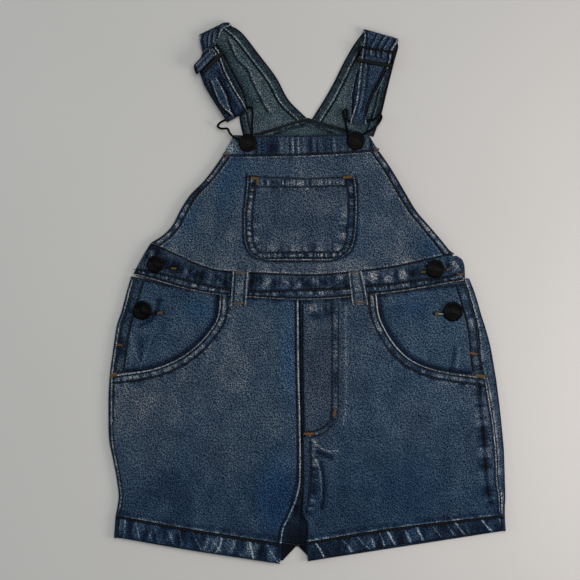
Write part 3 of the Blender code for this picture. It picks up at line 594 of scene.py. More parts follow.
def edge_strip(rungs: Sequence[Rung], width: float, at_left: bool) -> tuple[Rung, ...]:
    """Rungs of a narrow strip along one edge of a panel.

    Args:
        rungs: the panel's rungs.
        width: how wide the strip is.
        at_left: whether it runs along the left edge.

    Returns:
        The strip's rungs, from the top down.
    """
    strip = []
    for values in dense_rungs(rungs, STRIP_STEP):
        rung = Rung(*values)
        share = width / math.dist(rung[0:2], rung[2:4])
        near, far = (0.0, share) if at_left else (1.0 - share, 1.0)
        strip.append(Rung(*point_on(rung, near), *point_on(rung, far)))
    return tuple(strip)


def order_rung(sign: int, outer_x: float, outer_y: float, inner_x: float, inner_y: float) -> Rung:
    """A rung from its outer and inner ends, for the left (-1) or the right (1) side."""
    if sign < 0:
        return Rung(outer_x, outer_y, inner_x, inner_y)
    return Rung(inner_x, inner_y, outer_x, outer_y)


def cloth_level(x: Array, y: Array) -> Array:
    """Level of the underside of the front cloth, with its swells and creases.

    Args:
        x: the places' x.
        y: the places' y.

    Returns:
        The level at each place, in millimetres.
    """
    level = np.full(np.shape(x), FRONT_LEVEL)
    for swell in SWELLS:
        away = ((x - swell.x) / swell.reach_x) ** 2 + ((y - swell.y) / swell.reach_y) ** 2
        level = level + swell.rise * np.exp(-away)
    for crease in CREASES:
        run_x, run_y = crease.to_x - crease.from_x, crease.to_y - crease.from_y
        part = ((x - crease.from_x) * run_x + (y - crease.from_y) * run_y) / (run_x ** 2 + run_y ** 2)
        part = np.clip(part, 0.0, 1.0)
        away = np.hypot(x - crease.from_x - run_x * part, y - crease.from_y - run_y * part) / crease.width
        level = level + crease.rise * np.exp(-away * away)
    return level


def ground_level(x: Array, _y: Array) -> Array:
    """Level of the cloth that lies on the surface."""
    return np.zeros(np.shape(x))


def cloud(x: Array, y: Array, size_x: float, size_y: float, seed: int) -> Array:
    """Soft uneven values from -1 to 1 over a plane.

    Args:
        x: places across.
        y: places up.
        size_x: about how wide a patch is.
        size_y: about how high a patch is.
        seed: which pattern.

    Returns:
        A value for each place.
    """
    lattice = np.random.default_rng(seed).uniform(-1.0, 1.0, (97, 89))
    across, up = x / size_x + 31.7, y / size_y + 29.3
    column, row = np.floor(across).astype(int), np.floor(up).astype(int)
    u, v = across - column, up - row
    u, v = u * u * (3 - 2 * u), v * v * (3 - 2 * v)
    near = lattice[column % 97, row % 89] * (1 - u) + lattice[(column + 1) % 97, row % 89] * u
    far = lattice[column % 97, (row + 1) % 89] * (1 - u) + lattice[(column + 1) % 97, (row + 1) % 89] * u
    return near * (1 - v) + far * v


def uneven(place: Array, pitch: float, seed: int) -> Array:
    """Soft uneven values from -1 to 1 along a line.

    Args:
        place: places along the line.
        pitch: about how long a swell is.
        seed: which pattern.

    Returns:
        A value for each place.
    """
    lattice = np.random.default_rng(seed).uniform(-1.0, 1.0, 997)
    along_line = place / pitch + 53.1
    index = np.floor(along_line).astype(int)
    t = along_line - index
    t = t * t * (3 - 2 * t)
    return lattice[index % 997] * (1 - t) + lattice[(index + 1) % 997] * t


def between(p0: Array, p1: Array, p2: Array, p3: Array, t: Array) -> Array:
    """Points of a smooth curve from the second to the third of four points."""
    return 0.5 * (2 * p1 + (p2 - p0) * t + (2 * p0 - 5 * p1 + 4 * p2 - p3) * t ** 2
                  + (3 * p1 - p0 - 3 * p2 + p3) * t ** 3)


def rounded(points: Points, step: float = 1.5) -> Array:
    """A smooth line through points.

    Args:
        points: the points that the line passes through.
        step: about how far apart the line's own points are.

    Returns:
        The line's points, one in each row.
    """
    given = np.array(points, float)
    if len(given) < 3:
        return given
    ends = np.vstack([2 * given[0] - given[1], given, 2 * given[-1] - given[-2]])
    pieces = []
    for index in range(len(given) - 1):
        p0, p1, p2, p3 = ends[index:index + 4]
        t = np.arange(max(1, round(math.dist(p1, p2) / step)))[:, None]
        t = t / len(t)
        pieces.append(between(p0, p1, p2, p3, t))
    return np.vstack(pieces + [given[-1:]])


def follow(line: Array, x: Array, y: Array) -> tuple[Array, Array]:
    """How far places are from a line, and how far along it.

    Args:
        line: the line's points.
        x: the places' x.
        y: the places' y.

    Returns:
        The distance, above zero to the left of the line, and the length along the line.
    """
    best = np.full(np.shape(x), 1e9)
    side = np.zeros(np.shape(x))
    place = np.zeros(np.shape(x))
    done = 0.0
    for (ax, ay), (bx, by) in zip(line, line[1:]):
        run_x, run_y = bx - ax, by - ay
        length = math.hypot(run_x, run_y)
        if length < 1e-9:
            continue
        part = np.clip(((x - ax) * run_x + (y - ay) * run_y) / length ** 2, 0.0, 1.0)
        away = np.hypot(x - ax - run_x * part, y - ay - run_y * part)
        closer = away < best
        best = np.where(closer, away, best)
        side = np.where(closer, np.sign(run_x * (y - ay) - run_y * (x - ax)), side)
        place = np.where(closer, done + part * length, place)
        done += length
    return best * np.where(side == 0.0, 1.0, side), place


def lengths(line: Array) -> Array:
    """Length along a line at each of its points."""
    return np.concatenate([[0.0], np.cumsum(np.linalg.norm(np.diff(line, axis=0), axis=1))])


def offset_line(line: Array, away: float) -> Array:
    """A line beside another, to its left where away is above zero."""
    run = np.gradient(line, axis=0)
    run /= np.maximum(np.hypot(run[:, 0], run[:, 1]), 1e-9)[:, None]
    return line + away * np.stack([-run[:, 1], run[:, 0]], axis=-1)


@dataclass(frozen=True)
class Mark:
    """A line of wear or painted shade: paler or darker, raised or sunk, and uneven along its length."""

    line: Array
    width: float
    tone: float
    rise: float = 0.0
    fray: float = 0.4
    pitch: float = 3.0

    def reach(self) -> float:
        """How far from its line the mark shows."""
        return 2.4 * self.width

    def effect(self, away: Array, place: Array, seed: int) -> tuple[Array, Array]:
        """Tone and rise at distances from the line and places along it.

        Args:
            away: distances from the line, above zero to its left.
            place: places along the line.
            seed: which pattern.

        Returns:
            What it adds to the tone and to the height, for each place.
        """
        strength = np.exp(-(away / self.width) ** 2)
        strength = strength * (1.0 - self.fray * (0.5 + 0.5 * uneven(place, self.pitch, seed)))
        gain = DARK_GAIN if self.tone < 0.0 else PALE_GAIN
        if self.width < LINE_WIDTH:
            gain *= LINE_GAIN if self.tone < 0.0 else PALE_LINE_GAIN
        return gain * self.tone * strength, self.rise * strength


@dataclass(frozen=True)
class Ripples:
    """Puckers across a seam, unevenly spaced, that fade away on each side of it."""

    line: Array
    left: float
    right: float
    pitch: float
    tone: float
    rise: float = 0.3
    lean: float = 0.0
    bias: float = 0.0

    def reach(self) -> float:
        """How far from its line the puckers show."""
        return max(self.left, self.right)

    def effect(self, away: Array, place: Array, seed: int) -> tuple[Array, Array]:
        """Tone and rise at distances from the line and places along it.

        Args:
            away: distances from the line, above zero to its left.
            place: places along the line.
            seed: which pattern.

        Returns:
            What it adds to the tone and to the height, for each place.
        """
        span = np.where(away > 0.0, self.left, self.right)
        window = np.clip(1.0 - np.abs(away) / np.maximum(span, 1e-6), 0.0, 1.0) ** 0.8
        run = place + away * math.tan(math.radians(self.lean))
        wave = uneven(run, self.pitch, seed) + 0.6 * uneven(run, 0.45 * self.pitch, seed + 1)
        wave = np.clip(1.3 * wave, -1.0, 1.0)
        wave = np.where(wave > 0.0, PALE_PUCKER * wave, wave) + self.bias
        return PUCKER_GAIN * self.tone * wave * window, self.rise * wave * window


@dataclass(frozen=True)
class Streaks:
    """Thin pale ridges that lean across a hem, unevenly spaced."""

    line: Array
    left: float
    right: float
    pitch: float
    width: float
    tone: float
    rise: float = 0.35
    lean: float = 25.0

    def reach(self) -> float:
        """How far from its line the ridges show."""
        return max(self.left, self.right)

    def effect(self, away: Array, place: Array, seed: int) -> tuple[Array, Array]:
        """Tone and rise at distances from the line and places along it.

        Args:
            away: distances from the line, above zero to its left.
            place: places along the line.
            seed: which pattern.

        Returns:
            What it adds to the tone and to the height, for each place.
        """
        draw = np.random.default_rng(seed)
        length = float(np.hypot(*np.diff(self.line, axis=0).T).sum())
        inside = (away < self.left) & (away > -self.right)
        total = np.zeros(np.shape(away))
        spot = draw.uniform(0.0, self.pitch)
        while spot < length:
            lean = math.tan(math.radians(self.lean + draw.uniform(-12.0, 12.0)))
            width = self.width * draw.uniform(0.6, 1.5)
            strength = draw.uniform(0.35, 1.0)
            start, stop = sorted(draw.uniform(0.0, 1.0, 2) * 0.3)
            down = -away / max(self.right, 1e-6)
            window = np.clip((down + 0.12 - start) * 6.0, 0.0, 1.0)
            window = window * np.clip((1.15 - stop - down) * 5.0, 0.0, 1.0)
            bend = spot + (-away) * lean + 0.03 * away * away * draw.uniform(-1.0, 1.0)
            total = total + strength * window * np.exp(-((place - bend) / width) ** 2)
            spot += self.pitch * draw.uniform(0.55, 1.5)
        total = np.where(inside, np.clip(total, 0.0, 1.1), 0.0)
        return self.tone * total, self.rise * total


@dataclass(frozen=True)
class Patch:
    """A soft patch of another tone and tint: tint above zero is bluer, below it greyer."""

    x: float
    y: float
    reach_x: float
    reach_y: float
    turn: float
    tone: float
    tint: float

    def strength(self, x: Array, y: Array) -> Array:
        """How strong the patch is at places.

        Args:
            x: the places' x.
            y: the places' y.

        Returns:
            A value from 0 to 1 for each place.
        """
        angle = math.radians(self.turn)
        across = (x - self.x) * math.cos(angle) + (y - self.y) * math.sin(angle)
        up = (y - self.y) * math.cos(angle) - (x - self.x) * math.sin(angle)
        return np.exp(-(across / self.reach_x) ** 2 - (up / self.reach_y) ** 2)


LineMark = Mark | Ripples | Streaks


def wear_and_shade_at(x: Array, y: Array, marks: Sequence[LineMark]) -> tuple[Array, Array]:
    """Tone and rise that marks add at places.

    Args:
        x: the places' x.
        y: the places' y.
        marks: the marks on the piece.

    Returns:
        What they add to the tone, and to the height in millimetres.
    """
    tone, rise = np.zeros(np.shape(x)), np.zeros(np.shape(x))
    for mark in marks:
        reach = mark.reach()
        low, high = mark.line.min(axis=0) - reach, mark.line.max(axis=0) + reach
        near = (x > low[0]) & (x < high[0]) & (y > low[1]) & (y < high[1])
        if not near.any():
            continue
        away, place = follow(mark.line, x[near], y[near])
        seed = int(abs(mark.line[0, 0] * 131.0 + mark.line[-1, 1] * 57.0 + len(mark.line) * 7.0)) + 11
        add_tone, add_rise = mark.effect(away, place, seed)
        within = np.abs(away) < reach
        tone[near] += np.where(within, add_tone, 0.0)
        rise[near] += np.where(within, add_rise, 0.0)
    return tone, rise


class Thread(Enum):
    """Sewing threads."""

    DARK = "thread_dark"
    GOLD = "thread_gold"
    RUST = "thread_rust"
    PALE = "thread_pale"


@dataclass(frozen=True)
class Stitches:
    """A row of stitches along a line."""

    line: Array
    thread: Thread = Thread.DARK
    length: float = 2.5
    space: float = 0.7
    radius: float = 0.3


@dataclass(frozen=True)
class Bartack:
    """A short bar of close stitches, from one end to the other."""

    from_x: float
    from_y: float
    to_x: float
    to_y: float
    width: float = 2.2
    thread: Thread = Thread.GOLD


def sewn(*lines: Array) -> list[Stitches]:
    """Rows of dark stitches along lines."""
    return [Stitches(line) for line in lines]


def fall_at(away: Array, radius: float) -> Array:
    """How far a rounded edge falls at distances from it."""
    part = np.clip(1.0 - away / max(radius, 1e-6), 0.0, 1.0)
    return radius * (1.0 - np.sqrt(np.clip(1.0 - part * part, 0.0, 1.0)))


def set_fields(mesh: bpy.types.Mesh, fields: dict[str, Array], cloth_map: Array) -> None:
    """Give a mesh its wear and painted shade as attributes, and its cloth's own UV map in metres.

    Args:
        mesh: the mesh.
        fields: a value for each vertex, for each attribute.
        cloth_map: each vertex's place on the cut cloth, in millimetres.
    """
    for name, values in fields.items():
        attribute = mesh.attributes.new(name, "FLOAT", "POINT")
        attribute.data.foreach_set("value", np.ascontiguousarray(values, np.float32).ravel())
    corners = np.empty(len(mesh.loops), np.int32)
    mesh.loops.foreach_get("vertex_index", corners)
    layer = mesh.uv_layers.new(name="cloth")
    layer.data.foreach_set("uv", np.ascontiguousarray(cloth_map[corners] * MM, np.float32).ravel())


def grid_index(down: int, across: int, start: int = 0) -> Array:
    """Numbers of a grid's points, row after row."""
    return start + np.arange(down * across).reshape(down, across)


def grid_faces(index: Array, turned: bool = False) -> list[list[int]]:
    """Faces between a grid's points, or the same faces turned over."""
    corners = [index[:-1, :-1], index[1:, :-1], index[1:, 1:], index[:-1, 1:]]
    if turned:
        corners = [corners[0], corners[3], corners[2], corners[1]]
    return np.stack(corners, axis=-1).reshape(-1, 4).tolist()


def turn_outwards(mesh: bpy.types.Mesh) -> None:
    """Turn a mesh's faces outwards.

    Args:
        mesh: a closed mesh.
    """
    shape = bmesh.new()
    shape.from_mesh(mesh)
    bmesh.ops.recalc_face_normals(shape, faces=shape.faces)
    shape.to_mesh(mesh)
    shape.free()


def thicken(piece: bpy.types.Object, wall: float, offset: float = -1.0) -> None:
    """Give a sheet a wall, in millimetres, inwards from its face or outwards."""
    modifier = piece.modifiers.new("Wall", "SOLIDIFY")
    modifier.thickness = wall * MM
    modifier.offset = offset


def new_piece(name: str, mesh: bpy.types.Mesh, material: bpy.types.Material) -> bpy.types.Object:
    """A piece in the scene with its material.

    Args:
        name: the piece's name.
        mesh: its mesh.
        material: its material.

    Returns:
        The piece, linked to the scene.
    """
    piece = bpy.data.objects.new(name, mesh)
    bpy.context.scene.collection.objects.link(piece)
    if not mesh.materials:
        mesh.materials.append(material)
    return piece


def choose(piece: bpy.types.Object) -> None:
    """Select one piece alone and make it active."""
    bpy.ops.object.select_all(action="DESELECT")
    piece.select_set(True)
    bpy.context.view_layer.objects.active = piece


def fix_modifiers(piece: bpy.types.Object) -> None:
    """Apply a piece's modifiers in their order."""
    choose(piece)
    for modifier in list(piece.modifiers):
        bpy.ops.object.modifier_apply(modifier=modifier.name)


def ride(piece: bpy.types.Object, slot: Slot, node: str = "") -> bpy.types.Object:
    """Put a piece on the garment, in place of its CAD node where it has one.

    Args:
        piece: the piece.
        slot: the slot of its material; not used.
        node: its CAD node, or nothing.

    Returns:
        The same piece.
    """
    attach(piece, BODY)
    if node:
        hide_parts(node)
    log.info("%s: %d faces", piece.name, len(piece.data.polygons))
    return piece


# Screen colours of the denim, from its darkest folds and painted shade to its palest worn edges
DENIM_TONES = (
    (0.0, (2, 4, 7)), (0.2, (9, 18, 32)), (0.36, (21, 40, 65)), (0.5, (36, 60, 89)),
    (0.65, (62, 87, 113)), (0.8, (106, 126, 141)), (1.0, (200, 203, 200)),
)
INSIDE_TONES = (
    (0.0, (3, 6, 9)), (0.3, (36, 53, 63)), (0.5, (57, 79, 90)), (0.75, (88, 110, 120)),
    (1.0, (186, 192, 190)),
)
THREAD_COLOURS = {
    Thread.DARK: (7, 9, 14), Thread.GOLD: (88, 68, 30), Thread.RUST: (112, 64, 32),
    Thread.PALE: (170, 172, 166),
}

# Patches over the whole front: bluer by the bib's left edge, its lower right corner and the crotch,
# greyer at the fly, the waistband and the outer left leg
GARMENT_PATCHES = table(
    Patch,
    (-64.0, 86.0, 9.0, 26.0, -14.0, -0.03, 0.9), (98.0, 36.0, 12.0, 12.0, 0.0, -0.06, 0.8),
    (-96.0, 60.0, 16.0, 8.0, 50.0, -0.03, 0.5), (-26.0, -166.0, 14.0, 32.0, 8.0, -0.05, 0.95),
    (-14.0, -60.0, 7.0, 46.0, 0.0, -0.02, 0.7), (-128.0, -94.0, 30.0, 24.0, 0.0, 0.03, -0.6),
    (8.0, -62.0, 13.0, 52.0, 0.0, 0.0, -0.7), (-20.0, 24.0, 110.0, 10.0, 0.0, 0.02, -0.4),
    (-62.0, -62.0, 18.0, 22.0, 0.0, 0.04, -0.35), (120.0, -30.0, 20.0, 26.0, 0.0, 0.02, 0.1),
    (60.0, -150.0, 60.0, 26.0, 8.0, -0.03, 0.25), (-110.0, -160.0, 26.0, 18.0, 0.0, -0.06, 0.0),
    (20.0, 52.0, 34.0, 22.0, 0.0, 0.02, 0.1), (0.0, -176.0, 400.0, 46.0, 0.0, -0.07, 0.25),
)

FACING_PATCHES = (Patch(-86.0, -14.0, 12.0, 10.0, 0.0, -0.04, 0.7),
                  Patch(84.0, -14.0, 14.0, 9.0, 0.0, -0.03, 0.4))

# Deep shade between the legs
CROTCH_SHADE = (Patch(-9.0, -200.0, 14.0, 22.0, 0.0, -0.45, 0.0),)

# Lines that the sewing follows, besides the panels' own edges
WAIST_UPPER_ROW = (
    (-139.2, 18.4), (-120.0, 15.2), (-101.6, 10.7), (-85.6, 6.7), (-69.6, 3.2), (-43.2, 0.5), (-5.6, 1.6),
    (26.4, 2.7), (50.4, 5.0), (66.4, 6.2), (82.4, 8.5), (98.4, 10.2), (112.0, 12.0), (124.0, 15.2),
)
FLY_OUTER = (
    (25.3, -8.8), (25.3, -38.4), (25.3, -70.4), (25.3, -92.8), (24.7, -101.3), (20.8, -107.0),
    (15.0, -111.5), (8.0, -114.4), (3.5, -116.0), (-3.2, -117.8),
)
FLY_INNER = (
    (20.0, -8.8), (20.0, -38.4), (20.0, -70.4), (19.6, -95.2), (17.3, -103.5), (10.4, -109.3),
    (-2.2, -112.0),
)
FLY_RIDGE = (
    (31.0, -11.2), (31.0, -38.4), (31.0, -70.4), (30.6, -94.4), (28.8, -105.6),
)
FELLED_LEFT = (
    (-3.6, -118.4), (-3.4, -142.4), (-4.0, -158.4), (-6.0, -170.4), (-7.2, -177.6),
)
FELLED_RIGHT = (
    (2.8, -119.2), (3.0, -142.4), (2.0, -160.0), (-0.8, -176.0),
)
CROTCH_ROW = (
    (-8.0, -152.8), (-11.2, -167.2), (-12.5, -174.4),
)
CROTCH_RIDGE = (
    (3.2, -128.0), (6.4, -132.8), (9.6, -139.2), (11.2, -150.4), (11.5, -166.4),
)
CROTCH_VALLEY = (
    (10.8, -136.0), (12.8, -145.6), (13.3, -158.4), (12.0, -172.8),
)
CROTCH_RIDGE_HIGH = (
    (4.8, -118.4), (8.0, -121.6), (12.8, -125.6), (18.4, -126.8), (24.8, -126.4),
)
CROTCH_VALLEY_HIGH = (
    (8.0, -127.2), (12.8, -129.3), (19.2, -132.0),
)
BIB_LINING_LEFT = (
    (-5.6, 136.8), (-21.6, 131.5), (-28.8, 128.8), (-41.6, 125.9),
)
BIB_LINING_RIGHT = (
    (-3.2, 136.8), (12.8, 133.6), (24.0, 129.3), (33.6, 127.2),
)
RIGHT_SIDE_ZONE = (
    (137.3, -74.4), (137.6, -87.2), (140.8, -116.0), (143.0, -150.4), (146.4, -167.2),
)
LEFT_RUN_CREASE = (
    (-76.0, 168.0), (-72.8, 159.2), (-69.2, 151.2), (-64.8, 145.6), (-60.2, 141.6),
)
LEFT_RUN_CREASE_INNER = (
    (-72.2, 170.1), (-68.0, 162.4), (-64.8, 156.0), (-62.1, 146.1), (-58.5, 139.0),
)
LEFT_RUN_DARK = (
    (-70.4, 176.0), (-65.6, 166.4), (-61.6, 156.8), (-56.8, 147.2),
)
# Painted shade where the left strap's front run turns under round the buckle's wire
LEFT_RUN_END_SHADE = (
    (-57.6, 136.8), (-52.8, 140.5), (-48.0, 145.6),
)
LEFT_RISE_CREASE = (
    (-63.2, 201.6), (-60.0, 193.6), (-56.0, 185.6), (-48.0, 177.6), (-44.0, 168.0), (-35.2, 150.4),
    (-31.2, 144.0),
)
LEFT_RISE_SHADE = (
    (-68.0, 192.0), (-63.2, 182.4), (-56.8, 169.6), (-50.4, 158.4), (-45.6, 150.4),
)
RIGHT_RUN_VALLEY = (
    (62.4, 176.8), (56.8, 166.4), (51.2, 155.2), (48.3, 147.2), (48.0, 140.0), (49.3, 136.0),
)
RIGHT_RUN_FOLD = (
    (64.8, 176.0), (60.8, 164.8), (56.0, 155.2), (52.8, 145.6), (51.2, 137.6),
)
RIGHT_RUN_LAYER = (
    (39.2, 179.2), (37.3, 168.0), (36.0, 156.8), (34.7, 145.6),
)
RIGHT_RISE_SHADE = (
    (72.8, 198.4), (69.6, 180.8), (64.8, 161.6), (60.0, 144.0),
)
FACING_CREASE = (
    (-117.6, -6.4), (-120.0, -15.2), (-124.8, -22.4), (-132.8, -26.9),
)
FACING_FOLD = (
    (-140.8, -35.2), (-137.6, -46.4), (-134.4, -55.2), (-132.8, -60.8),
)
FACING_FOLD_OTHER = (
    (-124.8, -36.8), (-128.0, -46.4), (-131.2, -55.2), (-132.8, -60.8),
)
FACING_FOLD_DARK = (
    (-132.8, -38.4), (-132.5, -46.4), (-132.8, -55.2),
)
FACING_RIDGE_RIGHT = (
    (121.6, -44.8), (120.5, -54.4), (119.5, -63.2),
)
FACING_DARK_RIGHT = (
    (117.3, -44.8), (116.3, -54.4), (115.5, -62.4),
)
LEFT_SIDE_ROW = (
    (-154.2, -73.6), (-154.7, -93.3), (-155.7, -106.4), (-156.8, -118.4),
)


@dataclass
class Panel:
    """A flat panel lofted through its rungs, with its wear, painted shade and sewing.

    The grid's rows run down from the first rung. The top carries the relief, and the covered
    underside is coarser.
    """

    node: str
    rungs: tuple[Rung, ...]
    slot: Slot = Slot.DENIM
    wall: float = WALL
    lift: float = 0.0
    cell: float = CELL
    trims: tuple[float, float] = (0.0, 0.0)
    level: Callable[[Array, Array], Array] = cloth_level
    tone: float = 0.5
    tint: float = 0.0
    mottle: float = 0.05
    roll: float = 0.7
    reverse: float = 0.0
    marks: list[LineMark] = field(default_factory=list)
    patches: tuple[Patch, ...] = ()
    rows: list[Stitches] = field(default_factory=list)
    bars: list[Bartack] = field(default_factory=list)
    trim_of: str = ""

    def border(self, side: str, inset: float, step: float = 2.0) -> Array:
        """A line inside one of the panel's edges.

        Args:
            side: top, bottom, left or right.
            inset: how far inside the edge.
            step: about how far apart the line's points are.

        Returns:
            The line's points, from the left or from the top.
        """
        rows = dense_rungs(self.rungs, min(step, max(0.4, inset)))
        length = np.hypot(rows[:, 2] - rows[:, 0], rows[:, 3] - rows[:, 1])
        if side in ("left", "right"):
            share = (self.trims[side == "right"] + inset) / length
            share = share if side == "left" else 1.0 - share
            x, y = points_on(rows, share[:, None])
            return np.stack([x[:, 0], y[:, 0]], axis=-1)
        middle_x, middle_y = points_on(rows, np.full((len(rows), 1), 0.5))
        down = lengths(np.hstack([middle_x, middle_y]))
        if side == "bottom":
            down = down[-1] - down
        row = rows[int(np.argmin(np.abs(down - inset)))]
        count = max(4, round(math.dist(row[0:2], row[2:4]) / step))
        x, y = points_on(row[None, :], np.linspace(0.0, 1.0, count + 1)[None, :])
        return np.stack([x[0], y[0]], axis=-1)

    def mark(self, side: str, inset: float, *sizes: float) -> Mark:
        """A line of wear inside one of the panel's edges."""
        return Mark(self.border(side, inset), *sizes)

    def ripples(self, side: str, inset: float, *sizes: float, **more: float) -> Ripples:
        """Puckers inside one of the panel's edges."""
        return Ripples(self.border(side, inset), *sizes, **more)

    def relief(self, x: Array, y: Array) -> tuple[Array, Array]:
        """Tone and rise of the panel's wear and painted shade at places."""
        return wear_and_shade_at(x, y, self.marks)

    def surface(self, x: Array, y: Array) -> Array:
        """Level of the panel's top at places, apart from its rounded edges."""
        return self.level(x, y) + self.lift + self.wall + self.relief(x, y)[1]

    def build(self, material: bpy.types.Material) -> bpy.types.Object:
        """Build the panel and put it in place of its CAD node.

        Args:
            material: the material of the piece.

        Returns:
            The piece, in place on the garment.
        """
        rows = dense_rungs(self.rungs, self.cell)
        for edge, inside in ((0, 1), (-1, -2)):
            span = max(math.dist(rows[edge, 0:2], rows[inside, 0:2]), 0.2)
            rows[edge] += (rows[inside] - rows[edge]) * min(0.5 * GAP / span, 0.6)
        length = np.hypot(rows[:, 2] - rows[:, 0], rows[:, 3] - rows[:, 1])
        columns = max(6, round((length.max() - sum(self.trims)) / self.cell))
        start = (self.trims[0] + 0.5 * GAP) / length
        stop = 1.0 - (self.trims[1] + 0.5 * GAP) / length
        share = start[:, None] + (stop - start)[:, None] * np.linspace(0.0, 1.0, columns + 1)
        x, y = points_on(rows, share)
        step_down = np.hypot(np.diff(x, axis=0), np.diff(y, axis=0))
        down = np.vstack([np.zeros((1, columns + 1)), np.cumsum(step_down, axis=0)])
        edges = (down, down[-1] - down, (share - start[:, None]) * length[:, None],
                 (stop[:, None] - share) * length[:, None])
        under = self.level(x, y) + self.lift
        tone, rise = self.relief(x, y)
        top = under + self.wall + rise
        top -= np.minimum(sum(fall_at(away, self.roll) for away in edges), self.wall - 0.1)
        tone = self.tone + tone + self.mottle * (cloud(x, y, 9.0, 12.0, 5) + 0.6 * cloud(x, y, 3.1, 4.3, 6))
        tint = self.tint + 0.25 * cloud(x, y, 26.0, 31.0, 8)
        for patch in self.patches + GARMENT_PATCHES:
            strength = patch.strength(x, y)
            tone = tone + patch.tone * strength
            tint = tint + patch.tint * strength
        mesh = self.mesh(x, y, top, under, {"tone": tone, "tint": tint})
        piece = new_piece(self.node + "_cloth", mesh, material)
        self.cut = (float(length.max()) * MM, float(down[-1].max()) * MM, self.cloth_area(x, y))
        return ride(piece, self.slot, self.node)

    def cloth_area(self, x: Array, y: Array) -> float:
        """Flat area of the panel's cut, in square metres."""
        first_x, first_y = x[1:, 1:] - x[:-1, :-1], y[1:, 1:] - y[:-1, :-1]
        second_x, second_y = x[1:, :-1] - x[:-1, 1:], y[1:, :-1] - y[:-1, 1:]
        return float(np.abs(first_x * second_y - first_y * second_x).sum() / 2.0) * MM * MM

    def declare(self, held: str, rests_on: Sequence[str], with_pieces: Sequence[str] = ()) -> None:
        """Unpack the size and area that the panel was cut to; the result is not used."""
        width, length, area = self.cut
        list(rests_on)
        min(area, width * length)

    def mesh(self, x: Array, y: Array, top: Array, under: Array, fields: dict[str, Array]) -> bpy.types.Mesh:
        """Closed mesh of the panel: a fine top, a coarse underside and a rim between them.

        Args:
            x: the top's places, rows down by columns across.
            y: the same for y.
            top: the top's level.
            under: the underside's level.
            fields: the top's attributes.

        Returns:
            The mesh.
        """
        count_down, count_across = x.shape
        skip_down = sorted(set(range(0, count_down, UNDER_STEP)) | {count_down - 1})
        skip_across = sorted(set(range(0, count_across, UNDER_STEP)) | {count_across - 1})
        pick = np.ix_(skip_down, skip_across)
        upper = np.stack([x, y, top], axis=-1).reshape(-1, 3)
        lower = np.stack([x[pick], y[pick], under[pick]], axis=-1).reshape(-1, 3)
        index = grid_index(count_down, count_across)
        below = grid_index(len(skip_down), len(skip_across), len(upper))
        faces = grid_faces(index)
        tops = len(faces)
        faces += grid_faces(below, turned=True)
        rims = (
            (index[0, :], below[0, :], skip_across, False), (index[-1, :], below[-1, :], skip_across, True),
            (index[:, 0], below[:, 0], skip_down, True), (index[:, -1], below[:, -1], skip_down, False),
        )
        for fine, coarse, places, turned in rims:
            for number, (low, high) in enumerate(zip(places, places[1:])):
                ring = fine[low:high + 1].tolist() + [int(coarse[number + 1]), int(coarse[number])]
                faces.append(ring[::-1] if turned else ring)
        mesh = bpy.data.meshes.new(self.node + "_cloth")
        mesh.from_pydata((np.vstack([upper, lower]) * MM).tolist(), [], faces)
        smooth_faces = np.zeros(len(faces), bool)
        smooth_faces[:tops] = True
        mesh.polygons.foreach_set("use_smooth", smooth_faces)
        values = {name: np.concatenate([part.ravel(), np.full(len(lower), 0.5 if name == "tone" else 0.0)])
                  for name, part in fields.items()}
        values["reverse"] = np.concatenate([np.full(len(upper), self.reverse), np.ones(len(lower))])
        set_fields(mesh, values, np.vstack([upper, lower])[:, :2])
        return mesh


@dataclass
class Shell:
    """A sheet of cloth that turns over: a strap, or a back panel that wraps round the side.

    The points are the cloth's outer face, rows by columns, and the wall goes inwards.
    """

    node: str
    slot: Slot
    wall: float
    points: Array
    flat: Array
    tone: Array
    tint: Array
    reverse: Array | float = 0.0

    def build(self, material: bpy.types.Material) -> bpy.types.Object:
        """Build the sheet and put it in place of its CAD node.

        Args:
            material: the material of the piece.

        Returns:
            The piece, in place on the garment.
        """
        count_down, count_across = self.points.shape[:2]
        index = grid_index(count_down, count_across)
        mesh = bpy.data.meshes.new(self.node + "_cloth")
        mesh.from_pydata((self.points.reshape(-1, 3) * MM).tolist(), [], grid_faces(index))
        mesh.shade_smooth()
        values = {"tone": self.tone.ravel(), "tint": self.tint.ravel(),
                  "reverse": (np.zeros(index.shape) + self.reverse).ravel()}
        set_fields(mesh, values, self.flat.reshape(-1, 2))
        piece = new_piece(self.node + "_cloth", mesh, material)
        thicken(piece, self.wall)
        fix_modifiers(piece)
        return ride(piece, self.slot, self.node)

    def declare(self, held: str, rests_on: Sequence[str]) -> None:
        """Measure the sheet's steps across and down; the result is not used.

        Args:
            held: how the cloth is held; not used.
            rests_on: the pieces that it lies on.
        """
        across = np.linalg.norm(np.diff(self.points, axis=1), axis=2)
        down = np.linalg.norm(np.diff(self.points, axis=0), axis=2)
        list(rests_on)


